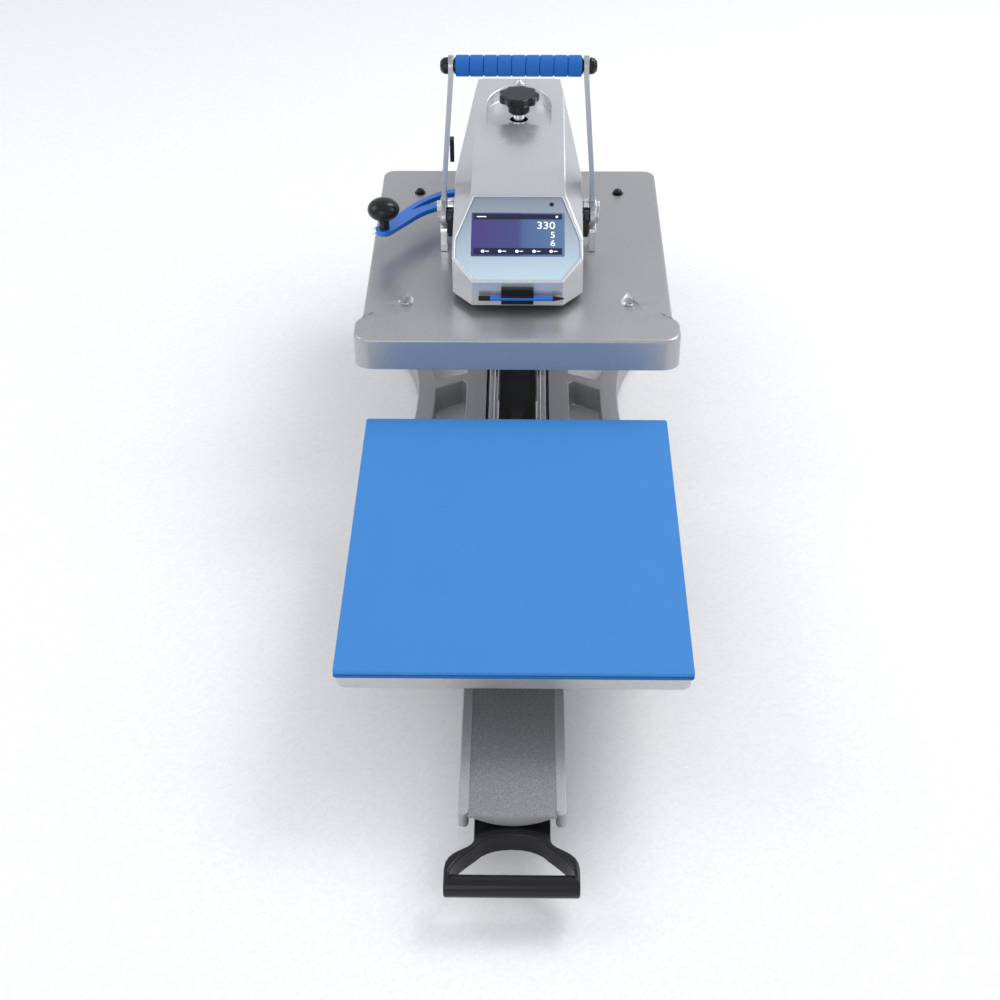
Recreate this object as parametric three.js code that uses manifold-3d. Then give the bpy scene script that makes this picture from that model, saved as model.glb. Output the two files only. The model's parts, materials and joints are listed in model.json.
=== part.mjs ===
// Swing-away heat press with a pull-out lower platen, touch-screen pod and over-centre lift handle.
// Millimetres. +X is the operator's right, +Y runs from the operator to the column, +Z is up.
// Sizes are laid out with Y = 0 at the heater platen's centre; the group is then shifted so that the
// origin is under the middle of the whole press, on the table.
import * as THREE from "three";
import { mergeVertices } from "three/addons/utils/BufferGeometryUtils.js";
import Module from "manifold-3d";

const wasm = await Module();
wasm.setup();

// ---- Driving dimensions ----
const GAP = 0.3; // between pieces that touch
const RUNNING = 0.5; // between pieces that slide or turn on each other

const PLATEN_WIDTH = 406.4;
const PLATEN_DEPTH = 508;
const PAD_THICKNESS = 9.7;
const LOWER_PLATE_THICKNESS = 16;
const PLATE_INSET = 2.2; // the plate's edge inside the pad's edge
const HEATER_THICKNESS = 20;
const PAD_TOP = 165; // above the table
const OPENING = 48; // heater face above the pad, head up
const HEATER_BOTTOM = PAD_TOP + OPENING;

const COVER_SIDE_ROOM = 9.3; // platen cover past the heater, at each side
const COVER_END_ROOM = 5; // and at each end
const COVER_WALL = 4;
const COVER_BOTTOM = HEATER_BOTTOM + 4;
const COVER_SIDE_TOP = COVER_BOTTOM + 43;
const COVER_RAISE = 3; // raised middle and lip above the side panels
const COVER_ROOF = 5.2;
const LIP_PROUD = 8.5; // front lip past the cover's sides
const LIP_DEPTH = 66;
const COVER_CORNER = 18;
const LIP_CORNER = 22;

const DRAW_GAP = 42; // between the cover's lip and the pad's rear edge, drawer out
const FOOT_HEIGHT = 8;
const BASE_TOP = 50;
const BASE_WAIST = 149; // half width at the narrowest place
const BASE_WAIST_Y = -65;
const BASE_FRONT_Y = -405;
const BASE_REAR_Y = 410;
const LEG_WIDTH = 26;
const CHANNEL_HALF = 47;
const CHANNEL_WALL = 30;
const CHANNEL_FLOOR = 20;

const RAIL_FRONT_Y = -355; // outer slide members, clear of the handle when the drawer is in
const RAIL_LENGTH = 590; // outer slide members
const MIDDLE_LENGTH = 552;
const RAIL_OUTER = 42.5; // half spread over the outer members
const RAIL_WEB = 3;
const DECK_TOP = 75;
const DECK_HALF = 48;
const BEAM_HALF = 59.5;
const NOSE_REACH = 130; // drawer beam in front of the pad
const HANDLE_REACH = 73; // handle bar in front of the nose
const HANDLE_HALF = 73;
const HANDLE_BAR_RADIUS = 12;
const HANDLE_Z = 44;

const COLUMN_Y = 325;
const COLUMN_RADIUS = 38;
const COLUMN_WALL = 9;
const HUB_RADIUS = 52;
const HUB_BOTTOM = HEATER_BOTTOM + 17;
const HUB_TOP = HUB_BOTTOM + 115;
const BUSH_WALL = 5.4;

const HEAD_HALF = 90;
const HEAD_FLAT_HALF = 66;
const HEAD_TAIL_HALF = 58;
const HEAD_WALL = 3;
const HEAD_BOTTOM = COVER_SIDE_TOP + 13;
const HEAD_FRONT_Y = -185;
const HEAD_REAR_Y = 383;
const PANEL_LOW_Z = HEAD_BOTTOM + 37.5;
const PANEL_TILT = 25; // degrees from level
const PANEL_LENGTH = 149.5;
const ROOF_TILT = 12;
const CREST_Y = 216;
const CHAMFER_DROP = 17.8;
const TAIL_TOP = HEAD_BOTTOM + 103;
const TAIL_BOTTOM = HUB_BOTTOM + 10;
const RECESS_HALF = 47;
const RECESS_FRONT_Y = 104;

const SCREEN_WIDTH = 128;
const SCREEN_HEIGHT = 74;
const SCREEN_MIDDLE = 81.3; // up the panel from its low edge
const FACE_INSET = 4.5;

const PIVOT_Y = -1;
const PIVOT_Z = HEAD_BOTTOM + 57;
const SHAFT_RADIUS = 10;
const CRANK = 34; // lever pivot to crank pin
const TOGGLE = 51; // crank pin to clevis pin
const GRIP_Y = 15;
const GRIP_Z = PIVOT_Z + 205;
const ARM_OUTER = HEAD_HALF + 19; // half spread over the lever arms, at the pivot
const ARM_OUTER_TOP = ARM_OUTER - 12.5; // and at the grip
const ARM_THICKNESS = 7;
const ARM_WIDTH = 26;
const GRIP_RADIUS = 14.6;
const GRIP_TUBE_RADIUS = 11;
const GRIP_RIDGES = 9;

const KNOB_Y = 128;
const KNOB_RADIUS = 30;
const KNOB_LOBES = 9;
const SPINDLE_RADIUS = 6;
const STYLUS_RADIUS = 3.5;
const STYLUS_LENGTH = 117;
const STYLUS_Z = HEAD_BOTTOM + 15.7;

// ---- Worked-out sizes that several pieces share ----
const HALF_W = PLATEN_WIDTH / 2;
const HALF_D = PLATEN_DEPTH / 2;
const COVER_HALF = HALF_W + COVER_SIDE_ROOM;
const COVER_END = HALF_D + COVER_END_ROOM;
const COVER_TOP = COVER_SIDE_TOP + COVER_RAISE;
const DRAW_TRAVEL = COVER_END + DRAW_GAP + HALF_D;
const PAD_Y = -DRAW_TRAVEL; // lower platen's centre, drawer out
const NOSE_Y = PAD_Y - HALF_D - NOSE_REACH;
const BAR_Y = NOSE_Y - HANDLE_REACH;
const CLEVIS_PIN_Z = PIVOT_Z - Math.sqrt(TOGGLE ** 2 - CRANK ** 2);
const tan = (degrees) => Math.tan((degrees * Math.PI) / 180);
const PANEL_TOP_Y = HEAD_FRONT_Y + PANEL_LENGTH * Math.cos((PANEL_TILT * Math.PI) / 180);
const PANEL_TOP_Z = PANEL_LOW_Z + PANEL_LENGTH * Math.sin((PANEL_TILT * Math.PI) / 180);
const roofAt = (y) => PANEL_TOP_Z + (y - PANEL_TOP_Y) * tan(ROOF_TILT);
const SHELF_Z = roofAt(RECESS_FRONT_Y);

// ---- Finishes ----
const finish = (color, roughness, metalness) =>
  new THREE.MeshStandardMaterial({ color, roughness, metalness });
const castGrey = finish(0x8f9092, 0.45, 0.6);
const silverPaint = finish(0xc9ccd0, 0.35, 0.4);
const chrome = finish(0xe4e6e8, 0.12, 1);
const steel = finish(0xa9abad, 0.3, 1);
const darkSteel = finish(0x3a3b3d, 0.5, 0.8);
const aluminium = finish(0xb4b5b6, 0.4, 0.9);
const bluePad = finish(0x2f7fd6, 0.75, 0);
const blueFoam = finish(0x1565c0, 0.7, 0);
const blueCoat = finish(0x0f6fd0, 0.4, 0.1);
const gloss = finish(0x121214, 0.2, 0);
const black = finish(0x18181a, 0.6, 0);
const bronze = finish(0xa8793c, 0.4, 0.9);
const fibre = finish(0xd8cfb8, 0.9, 0);
const facePrint = finish(0xa9c6dc, 0.4, 0);
const glassBlue = finish(0x39437f, 0.1, 0);
const boardGreen = finish(0x1f6b3a, 0.6, 0);

// ---- Solids ----
// A closed three.js geometry as a manifold-3d solid.
function solid(geometry) {
  const bare = geometry.index ? geometry.toNonIndexed() : geometry;
  const positions = new THREE.BufferGeometry();
  positions.setAttribute("position", bare.getAttribute("position"));
  const merged = mergeVertices(positions, 1e-4);
  return new wasm.Manifold(
    new wasm.Mesh({
      numProp: 3,
      vertProperties: new Float32Array(merged.attributes.position.array),
      triVerts: new Uint32Array(merged.index.array),
    }),
  );
}

function geometryOf(shape) {
  const mesh = shape.getMesh();
  return new THREE.BufferGeometry()
    .setAttribute("position", new THREE.BufferAttribute(new Float32Array(mesh.vertProperties), 3))
    .setIndex(new THREE.BufferAttribute(new Uint32Array(mesh.triVerts), 1))
    .toNonIndexed();
}

const join = (...parts) => parts.reduce((a, b) => a.add(b));
const cut = (from, ...parts) => parts.reduce((a, b) => a.subtract(b), from);
const common = (...parts) => parts.reduce((a, b) => a.intersect(b));

function outline(points) {
  return new THREE.Shape(points.map(([u, v]) => new THREE.Vector2(u, v)));
}

// A plan outline in X and Y, from z0 up to z1.
function slab(shape, z0, z1, curveSegments = 6) {
  const made = new THREE.ExtrudeGeometry(shape, {
    depth: z1 - z0,
    bevelEnabled: false,
    curveSegments,
  });
  return solid(made.translate(0, 0, z0));
}

// A side outline in Y and Z, from x0 across to x1.
function across(shape, x0, x1, curveSegments = 6) {
  const made = new THREE.ExtrudeGeometry(shape, {
    depth: x1 - x0,
    bevelEnabled: false,
    curveSegments,
  });
  made.applyMatrix4(new THREE.Matrix4().set(0, 0, 1, x0, 1, 0, 0, 0, 0, 1, 0, 0, 0, 0, 0, 1));
  return solid(made);
}

// A front outline in X and Z, from y0 back to y1.
function along(shape, y0, y1, curveSegments = 6) {
  const made = new THREE.ExtrudeGeometry(shape, {
    depth: y1 - y0,
    bevelEnabled: false,
    curveSegments,
  });
  made.applyMatrix4(new THREE.Matrix4().set(1, 0, 0, 0, 0, 0, -1, y1, 0, 1, 0, 0, 0, 0, 0, 1));
  return solid(made);
}

function box(x0, x1, y0, y1, z0, z1) {
  const made = new THREE.BoxGeometry(x1 - x0, y1 - y0, z1 - z0);
  return solid(made.translate((x0 + x1) / 2, (y0 + y1) / 2, (z0 + z1) / 2));
}

function post(x, y, radius, z0, z1, sides = 24) {
  const made = new THREE.CylinderGeometry(radius, radius, z1 - z0, sides);
  return solid(made.rotateX(Math.PI / 2).translate(x, y, (z0 + z1) / 2));
}

function pin(y, z, radius, x0, x1, sides = 24) {
  const made = new THREE.CylinderGeometry(radius, radius, x1 - x0, sides);
  return solid(made.rotateZ(Math.PI / 2).translate((x0 + x1) / 2, y, z));
}

function ring(x, y, inner, outer, z0, z1, sides = 32) {
  return cut(post(x, y, outer, z0, z1, sides), post(x, y, inner, z0 - 1, z1 + 1, sides));
}

// A turned solid about the vertical line through x, y; the profile is radius and height.
function turned(profile, x, y, sides = 24) {
  const points = profile.map(([r, z]) => new THREE.Vector2(r, z));
  const made = new THREE.LatheGeometry(points, sides);
  return solid(made.rotateX(Math.PI / 2).translate(x, y, 0));
}

// A rectangle with round corners, in plan.
function roundedRect(x0, x1, y0, y1, radius) {
  const r = Math.min(radius, (x1 - x0) / 2, (y1 - y0) / 2);
  const shape = new THREE.Shape();
  shape.moveTo(x0 + r, y0);
  shape.lineTo(x1 - r, y0).absarc(x1 - r, y0 + r, r, -Math.PI / 2, 0);
  shape.lineTo(x1, y1 - r).absarc(x1 - r, y1 - r, r, 0, Math.PI / 2);
  shape.lineTo(x0 + r, y1).absarc(x0 + r, y1 - r, r, Math.PI / 2, Math.PI);
  shape.lineTo(x0, y0 + r).absarc(x0 + r, y0 + r, r, Math.PI, 1.5 * Math.PI);
  return shape;
}

// A flat bar with round ends between two points of an outline.
function barOutline(u0, v0, r0, u1, v1, r1) {
  const angle = Math.atan2(v1 - v0, u1 - u0);
  const lean = Math.acos((r0 - r1) / Math.hypot(u1 - u0, v1 - v0));
  const shape = new THREE.Shape();
  shape.absarc(u1, v1, r1, angle - lean, angle + lean);
  shape.absarc(u0, v0, r0, angle + lean, angle - lean + 2 * Math.PI);
  return shape;
}

const press = new THREE.Group();
const sides = [
  ["left", -1],
  ["right", 1],
];

// One sub-part; side -1 sets it in mirror image on the left.
function place(name, shape, material, side = 1) {
  const mesh = new THREE.Mesh(geometryOf(shape), material);
  mesh.name = name;
  mesh.scale.x = side;
  press.add(mesh);
}

function mirrored(shape) {
  const geometry = geometryOf(shape);
  const position = geometry.getAttribute("position");
  const flipped = new Float32Array(position.count * 3);
  for (let i = 0; i < position.count; i += 3)
    [0, 2, 1].forEach((from, to) => {
      flipped[(i + to) * 3] = -position.getX(i + from);
      flipped[(i + to) * 3 + 1] = position.getY(i + from);
      flipped[(i + to) * 3 + 2] = position.getZ(i + from);
    });
  return solid(new THREE.BufferGeometry().setAttribute("position", new THREE.BufferAttribute(flipped, 3)));
}

const bothSides = (shape) => join(shape, mirrored(shape));

// ---- Base: casting, feet, rail channel ----
const LEG_REAR_Y = 120; // where the flared legs run straight
const baseHalf = (y) =>
  BASE_WAIST + (y - BASE_WAIST_Y) ** 2 / (y < BASE_WAIST_Y ? 2000 : 722);
const HUB_SEAT = 78; // top of the column socket
const SOCKET_RADIUS = COLUMN_RADIUS + 22;

function baseEdge(inset, from, to, steps) {
  return Array.from({ length: steps + 1 }, (_, i) => {
    const y = from + ((to - from) * i) / steps;
    return [baseHalf(y) - inset, y];
  });
}

function baseCasting() {
  const wall = CHANNEL_HALF + CHANNEL_WALL;
  const edge = baseEdge(0, BASE_FRONT_Y, LEG_REAR_Y, 14);
  const tail = [
    [baseHalf(LEG_REAR_Y), COLUMN_Y - 20],
    [BASE_WAIST - 30, BASE_REAR_Y],
  ];
  const half = [...edge, ...tail];
  const plan = outline([...half, ...half.map(([x, y]) => [-x, y]).reverse()]);
  const frontBar = BASE_FRONT_Y + 32;
  const frontWindow = outline([
    [wall, frontBar],
    ...baseEdge(LEG_WIDTH, frontBar, -50, 8),
    [84, -26],
    [wall, -33],
  ]);
  const rearWindow = outline([
    [wall, -5],
    [122, -24],
    ...baseEdge(LEG_WIDTH, 8, LEG_REAR_Y, 4),
    [baseHalf(LEG_REAR_Y) - LEG_WIDTH, 150],
    [wall, 168],
  ]);
  const windows = bothSides(
    join(slab(frontWindow, 0, BASE_TOP + 1), slab(rearWindow, 0, BASE_TOP + 1)),
  );
  const channelEnd = 262;
  const channel = box(
    -CHANNEL_HALF, CHANNEL_HALF, BASE_FRONT_Y - 1, channelEnd, CHANNEL_FLOOR, BASE_TOP + 1,
  );
  const socket = post(0, COLUMN_Y, SOCKET_RADIUS, FOOT_HEIGHT, HUB_SEAT, 40);
  const bore = post(0, COLUMN_Y, COLUMN_RADIUS + GAP, CHANNEL_FLOOR, HUB_SEAT + 1, 40);
  const boxSeat = box(-55, 55, COLUMN_Y + COLUMN_RADIUS + 3, BASE_REAR_Y, FOOT_HEIGHT, HUB_SEAT);
  return cut(join(slab(plan, FOOT_HEIGHT, BASE_TOP), socket, boxSeat), windows, channel, bore);
}
place("base_casting", baseCasting(), castGrey);

const footPlaces = [
  [baseHalf(BASE_FRONT_Y + 22) - 20, BASE_FRONT_Y + 22],
  [baseHalf(LEG_REAR_Y) - 24, COLUMN_Y - 50],
];
let footNumber = 0;
for (const [x, y] of footPlaces)
  for (const [, side] of sides) {
    footNumber += 1;
    const top = FOOT_HEIGHT - GAP;
    const foot = turned([[0, 0], [15, 0], [16.5, 2], [15.5, top], [0, top]], x, y);
    place("rubber_foot_" + footNumber, foot, black, side);
  }

const LINER_TOP = CHANNEL_FLOOR + 2.3;
place(
  "channel_liner",
  box(-27, 27, BASE_FRONT_Y + 3, 258, CHANNEL_FLOOR + GAP, LINER_TOP),
  black,
);

// ---- Telescopic slides: outer member on the base, middle member, inner member on the drawer ----
const RAIL_TOP = BASE_TOP - 2;
const RAIL_BOTTOM = CHANNEL_FLOOR + GAP;
const LIP_EDGE = RAIL_OUTER - 13; // inner edge of the outer member's lips
const MIDDLE_OUT = LIP_EDGE - GAP; // the middle member's web
const MIDDLE_IN = MIDDLE_OUT - 1.9;
const INNER_OUT = MIDDLE_IN - RUNNING;
const INNER_IN = INNER_OUT - 5;
const MIDDLE_REAR_Y = -78;
const INNER_REAR_Y = PAD_Y + HALF_D - 64;
const railSection = (points, y0, y1) => along(outline(points), y0, y1);

const outerRail = railSection(
  [
    [LIP_EDGE, RAIL_BOTTOM],
    [RAIL_OUTER, RAIL_BOTTOM],
    [RAIL_OUTER, RAIL_TOP],
    [RAIL_OUTER - 8, RAIL_TOP],
    [RAIL_OUTER - 8, RAIL_TOP - 2],
    [LIP_EDGE, RAIL_TOP - 2],
    [LIP_EDGE, RAIL_TOP - 5],
    [RAIL_OUTER - RAIL_WEB, RAIL_TOP - 5],
    [RAIL_OUTER - RAIL_WEB, RAIL_BOTTOM + 3],
    [LIP_EDGE, RAIL_BOTTOM + 3],
  ],
  RAIL_FRONT_Y,
  RAIL_FRONT_Y + RAIL_LENGTH,
);
const middleRail = railSection(
  [
    [MIDDLE_IN, LINER_TOP + 1],
    [MIDDLE_OUT, LINER_TOP + 1],
    [MIDDLE_OUT, RAIL_BOTTOM + 6],
    [RAIL_OUTER - RAIL_WEB - 0.7, RAIL_BOTTOM + 6],
    [RAIL_OUTER - RAIL_WEB - 0.7, RAIL_TOP - 6],
    [MIDDLE_OUT, RAIL_TOP - 6],
    [MIDDLE_OUT, RAIL_TOP - 1],
    [MIDDLE_IN, RAIL_TOP - 1],
  ],
  MIDDLE_REAR_Y - MIDDLE_LENGTH,
  MIDDLE_REAR_Y,
);
const CARRIAGE_TOP = LINER_TOP + 4;
const innerRail = railSection(
  [
    [INNER_IN, CARRIAGE_TOP + 1],
    [INNER_OUT, CARRIAGE_TOP + 1],
    [INNER_OUT, DECK_TOP - 5 - GAP],
    [INNER_IN, DECK_TOP - 5 - GAP],
  ],
  NOSE_Y + 21,
  INNER_REAR_Y,
);
for (const [side, sign] of sides) {
  place("slide_outer_" + side, outerRail, chrome, sign);
  place("slide_middle_" + side, middleRail, chrome, sign);
  place("slide_inner_" + side, innerRail, chrome, sign);
}
const carriageHalf = MIDDLE_IN - GAP;
const carriageFront = MIDDLE_REAR_Y - MIDDLE_LENGTH + 5;
place(
  "slide_carriage",
  join(
    box(-carriageHalf, carriageHalf, carriageFront, MIDDLE_REAR_Y, LINER_TOP + 1, CARRIAGE_TOP),
    box(-10, 10, carriageFront, MIDDLE_REAR_Y, LINER_TOP + 1, CARRIAGE_TOP + 8),
  ),
  black,
);

// ---- Drawer beam, handle, pedestal and lower platen ----
const BEAM_BOTTOM = BASE_TOP + 5;
const NOSE_SAG = 18; // depth of the rounded front lip under the deck
const beadMiddle = (DECK_HALF + BEAM_HALF) / 2;
const beadRadius = (BEAM_HALF - DECK_HALF) / 2;

function drawerBeam() {
  const deck = box(-DECK_HALF - 1, DECK_HALF + 1, NOSE_Y, INNER_REAR_Y, DECK_TOP - 5, DECK_TOP);
  const bead = join(
    box(DECK_HALF, BEAM_HALF, NOSE_Y + beadRadius, INNER_REAR_Y, BEAM_BOTTOM, DECK_TOP + 1.5),
    post(beadMiddle, NOSE_Y + beadRadius, beadRadius, BEAM_BOTTOM, DECK_TOP + 1.5, 20),
  );
  const lip = new THREE.Shape();
  lip.moveTo(-DECK_HALF, DECK_TOP);
  lip.lineTo(-DECK_HALF, DECK_TOP - 3);
  lip.quadraticCurveTo(0, DECK_TOP - 2 * NOSE_SAG + 3, DECK_HALF, DECK_TOP - 3);
  lip.lineTo(DECK_HALF, DECK_TOP);
  return join(deck, bothSides(bead), along(lip, NOSE_Y, NOSE_Y + 5, 12));
}
place("drawer_beam", drawerBeam(), castGrey);

const HANDLE_TOP = HANDLE_Z + HANDLE_BAR_RADIUS;
const HANDLE_NECK = 42; // half width of the plate under the drawer's nose
const HANDLE_WALL = 6;

function handleOuter() {
  const shape = new THREE.Shape();
  const shoulder = NOSE_Y - 18;
  shape.moveTo(HANDLE_NECK, NOSE_Y + 20);
  shape.lineTo(HANDLE_NECK, shoulder);
  const flare = [HANDLE_NECK + 3, shoulder - 14, HANDLE_HALF, shoulder - 12];
  shape.bezierCurveTo(...flare, HANDLE_HALF, shoulder - 40);
  shape.lineTo(HANDLE_HALF, BAR_Y);
  shape.lineTo(-HANDLE_HALF, BAR_Y);
  shape.lineTo(-HANDLE_HALF, shoulder - 40);
  shape.bezierCurveTo(-flare[2], flare[3], -flare[0], flare[1], -HANDLE_NECK, shoulder);
  shape.lineTo(-HANDLE_NECK, NOSE_Y + 20);
  return shape;
}

function fingerGap() {
  const shape = new THREE.Shape();
  const half = HANDLE_HALF - HANDLE_WALL;
  const low = BAR_Y + 3;
  shape.moveTo(-half, low);
  shape.lineTo(half, low);
  shape.lineTo(half, NOSE_Y - 62);
  shape.bezierCurveTo(half - 6, NOSE_Y - 44, half - 22, NOSE_Y - 34, 34, NOSE_Y - 21);
  shape.bezierCurveTo(18, NOSE_Y - 7, -18, NOSE_Y - 7, -34, NOSE_Y - 21);
  shape.bezierCurveTo(22 - half, NOSE_Y - 34, 6 - half, NOSE_Y - 44, -half, NOSE_Y - 62);
  return shape;
}

function drawerHandle() {
  const loop = cut(
    slab(handleOuter(), HANDLE_TOP - 26, HANDLE_TOP, 8),
    slab(fingerGap(), HANDLE_TOP - 27, HANDLE_TOP + 1, 8),
    box(-HANDLE_HALF - 1, HANDLE_HALF + 1, BAR_Y - 1, BAR_Y + 3, HANDLE_TOP - 27, HANDLE_TOP + 1),
    box(-HANDLE_HALF, HANDLE_HALF, NOSE_Y + 2, NOSE_Y + 21, HANDLE_TOP - 27, HANDLE_TOP - 12),
  );
  const bar = pin(BAR_Y, HANDLE_Z, HANDLE_BAR_RADIUS, -HANDLE_HALF, HANDLE_HALF, 28);
  const ends = bothSides(
    box(HANDLE_HALF - HANDLE_WALL, HANDLE_HALF, BAR_Y, BAR_Y + 4, HANDLE_TOP - 20, HANDLE_TOP),
  );
  const mount = box(-14, 14, NOSE_Y + 7, NOSE_Y + 60, HANDLE_TOP - 10, DECK_TOP - 5 - GAP);
  const tongue = box(-14, 14, NOSE_Y + 7, NOSE_Y + 60, HANDLE_TOP - 12, HANDLE_TOP);
  return join(loop, bar, ends, mount, tongue);
}
place("drawer_handle", drawerHandle(), gloss);

const PLATE_BOTTOM = PAD_TOP - PAD_THICKNESS - GAP - LOWER_PLATE_THICKNESS;
const RIB = 7;

function pedestal() {
  const foot = box(-DECK_HALF + 2, DECK_HALF - 2, PAD_Y - 95, PAD_Y + 95, DECK_TOP + GAP, DECK_TOP + 10);
  const stem = box(-34, 34, PAD_Y - 46, PAD_Y + 46, DECK_TOP + 8, PLATE_BOTTOM - 10);
  const head = slab(
    roundedRect(-105, 105, PAD_Y - 130, PAD_Y + 130, 20),
    PLATE_BOTTOM - 12,
    PLATE_BOTTOM - GAP,
  );
  const rib = outline([
    [PAD_Y - 90, DECK_TOP + 9],
    [PAD_Y + 90, DECK_TOP + 9],
    [PAD_Y + 122, PLATE_BOTTOM - 11],
    [PAD_Y - 122, PLATE_BOTTOM - 11],
  ]);
  const crossRib = outline([
    [-45, DECK_TOP + 9],
    [45, DECK_TOP + 9],
    [98, PLATE_BOTTOM - 11],
    [-98, PLATE_BOTTOM - 11],
  ]);
  return join(foot, stem, head, across(rib, -RIB, RIB), along(crossRib, PAD_Y - RIB, PAD_Y + RIB));
}
place("platen_pedestal", pedestal(), castGrey);

place(
  "lower_platen",
  slab(
    roundedRect(
      -HALF_W + PLATE_INSET, HALF_W - PLATE_INSET,
      PAD_Y - HALF_D + PLATE_INSET, PAD_Y + HALF_D - PLATE_INSET, 12,
    ),
    PLATE_BOTTOM,
    PLATE_BOTTOM + LOWER_PLATE_THICKNESS,
  ),
  aluminium,
);
place(
  "silicone_pad",
  slab(
    roundedRect(-HALF_W, HALF_W, PAD_Y - HALF_D, PAD_Y + HALF_D, 4),
    PAD_TOP - PAD_THICKNESS,
    PAD_TOP,
  ),
  bluePad,
);

// ---- Upper platen: cover casting, insulation, heater, clevises, guide rods ----
const COVER_CEILING = COVER_SIDE_TOP - COVER_ROOF;
const HEATER_TOP = HEATER_BOTTOM + HEATER_THICKNESS;
const DIMPLE = [155, -158];

function platenCover() {
  const body = slab(
    roundedRect(-COVER_HALF, COVER_HALF, -COVER_END, COVER_END, COVER_CORNER),
    COVER_BOTTOM,
    COVER_SIDE_TOP,
  );
  const lip = slab(
    roundedRect(
      -COVER_HALF - LIP_PROUD, COVER_HALF + LIP_PROUD,
      -COVER_END, -COVER_END + LIP_DEPTH, LIP_CORNER,
    ),
    COVER_BOTTOM,
    COVER_TOP,
  );
  const half = [
    [178, -COVER_END + LIP_DEPTH - 1],
    [ARM_OUTER + 50, -140],
    [ARM_OUTER + 3, 40],
    [70, 200],
  ];
  const raised = slab(
    outline([...half, ...half.map(([x, y]) => [-x, y]).reverse()]),
    COVER_SIDE_TOP - 1,
    COVER_TOP,
  );
  const hollow = slab(
    roundedRect(
      -COVER_HALF + COVER_WALL, COVER_HALF - COVER_WALL,
      -COVER_END + COVER_WALL, COVER_END - COVER_WALL, COVER_CORNER - COVER_WALL,
    ),
    COVER_BOTTOM - 1,
    COVER_CEILING,
  );
  const dimple = post(...DIMPLE, 13, COVER_TOP - 5, COVER_TOP + 1, 28);
  return cut(join(body, lip, raised), hollow, bothSides(dimple));
}
place("platen_cover", platenCover(), silverPaint);
place(
  "insulation_sheet",
  box(
    -HALF_W + 5, HALF_W - 5, -HALF_D + 5, HALF_D - 5, HEATER_TOP + GAP, COVER_CEILING - GAP,
  ),
  fibre,
);
place(
  "heater_platen",
  slab(roundedRect(-HALF_W, HALF_W, -HALF_D, HALF_D, 6), HEATER_BOTTOM, HEATER_TOP),
  aluminium,
);

const PIN_RADIUS = 4;
const PIN_FROM = HEAD_HALF + 3; // where the crank and clevis pins begin
const TOGGLE_IN = HEAD_HALF + 3.5;
const TOGGLE_OUT = TOGGLE_IN + 7.5;
const ARM_INNER = ARM_OUTER - ARM_THICKNESS;

const clevis = join(
  across(
    barOutline(PIVOT_Y, CLEVIS_PIN_Z, 11, PIVOT_Y, COVER_TOP + 12, 12),
    ARM_INNER + GAP,
    ARM_INNER + 10,
  ),
  box(ARM_INNER + GAP, ARM_INNER + 10, PIVOT_Y - 12, PIVOT_Y + 12, COVER_TOP + GAP, COVER_TOP + 12),
  pin(PIVOT_Y, CLEVIS_PIN_Z, PIN_RADIUS, PIN_FROM, ARM_INNER + 10.6, 16),
);
const clevisBlock = cut(
  clevis,
  box(ARM_INNER - 1, ARM_INNER + 11, PIVOT_Y - 14, PIVOT_Y + 14, COVER_TOP - 2, COVER_TOP + GAP),
);
for (const [side, sign] of sides) place("clevis_block_" + side, clevisBlock, steel, sign);

const ROD_RADIUS = 5;
const FRONT_ROD_Y = -75;
const REAR_ROD = [24, 75];
const ROD_HEAD_Z = HEAD_BOTTOM + 113;
const FRONT_ROD_TOP = HEAD_BOTTOM + 67;
place(
  "guide_rod_front",
  turned(
    [[0, COVER_TOP + GAP], [9, COVER_TOP + GAP], [9, COVER_TOP + 6], [ROD_RADIUS, COVER_TOP + 6],
      [ROD_RADIUS, FRONT_ROD_TOP - 1], [ROD_RADIUS - 1, FRONT_ROD_TOP], [0, FRONT_ROD_TOP]],
    0, FRONT_ROD_Y, 20,
  ),
  steel,
);
const rearRod = turned(
  [[0, COVER_TOP + GAP], [9, COVER_TOP + GAP], [9, COVER_TOP + 6], [ROD_RADIUS, COVER_TOP + 6],
    [ROD_RADIUS, ROD_HEAD_Z], [11, ROD_HEAD_Z], [11, ROD_HEAD_Z + 5], [0, ROD_HEAD_Z + 5]],
  ...REAR_ROD, 20,
);
for (const [side, sign] of sides) place("guide_rod_" + side, rearRod, steel, sign);

// ---- Swing column, its collar, bushes and cap ----
const COLLAR_TOP = HUB_BOTTOM - 8;
place(
  "column",
  ring(0, COLUMN_Y, COLUMN_RADIUS - COLUMN_WALL, COLUMN_RADIUS, CHANNEL_FLOOR + GAP, HUB_TOP + 0.7, 48),
  steel,
);
place(
  "column_collar",
  ring(0, COLUMN_Y, COLUMN_RADIUS + GAP, HUB_RADIUS + 4, COLLAR_TOP - 17, COLLAR_TOP, 48),
  darkSteel,
);
place(
  "thrust_washer",
  ring(0, COLUMN_Y, COLUMN_RADIUS + GAP, HUB_RADIUS - 2, COLLAR_TOP + GAP, HUB_BOTTOM - GAP, 48),
  bronze,
);
place("column_cap", post(0, COLUMN_Y, HUB_RADIUS - 8, HUB_TOP + 1, HUB_TOP + 7, 48), darkSteel);

// ---- Swing arm: the casting that carries the head from the column ----
const ARM_HALF = 40;
const ARM_BOTTOM = HEAD_BOTTOM + 12;
const SPRING_SEAT = ARM_BOTTOM + 15;
const SPRING_RADIUS = 11; // to the middle of the wire
const WIRE_RADIUS = 1.4;
const NUT_SIDE = 36;
const NUT_ROOM = 20;
const NUT_CAVITY_TOP = HUB_TOP - 11;
const BUSH_LENGTH = 30;

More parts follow.
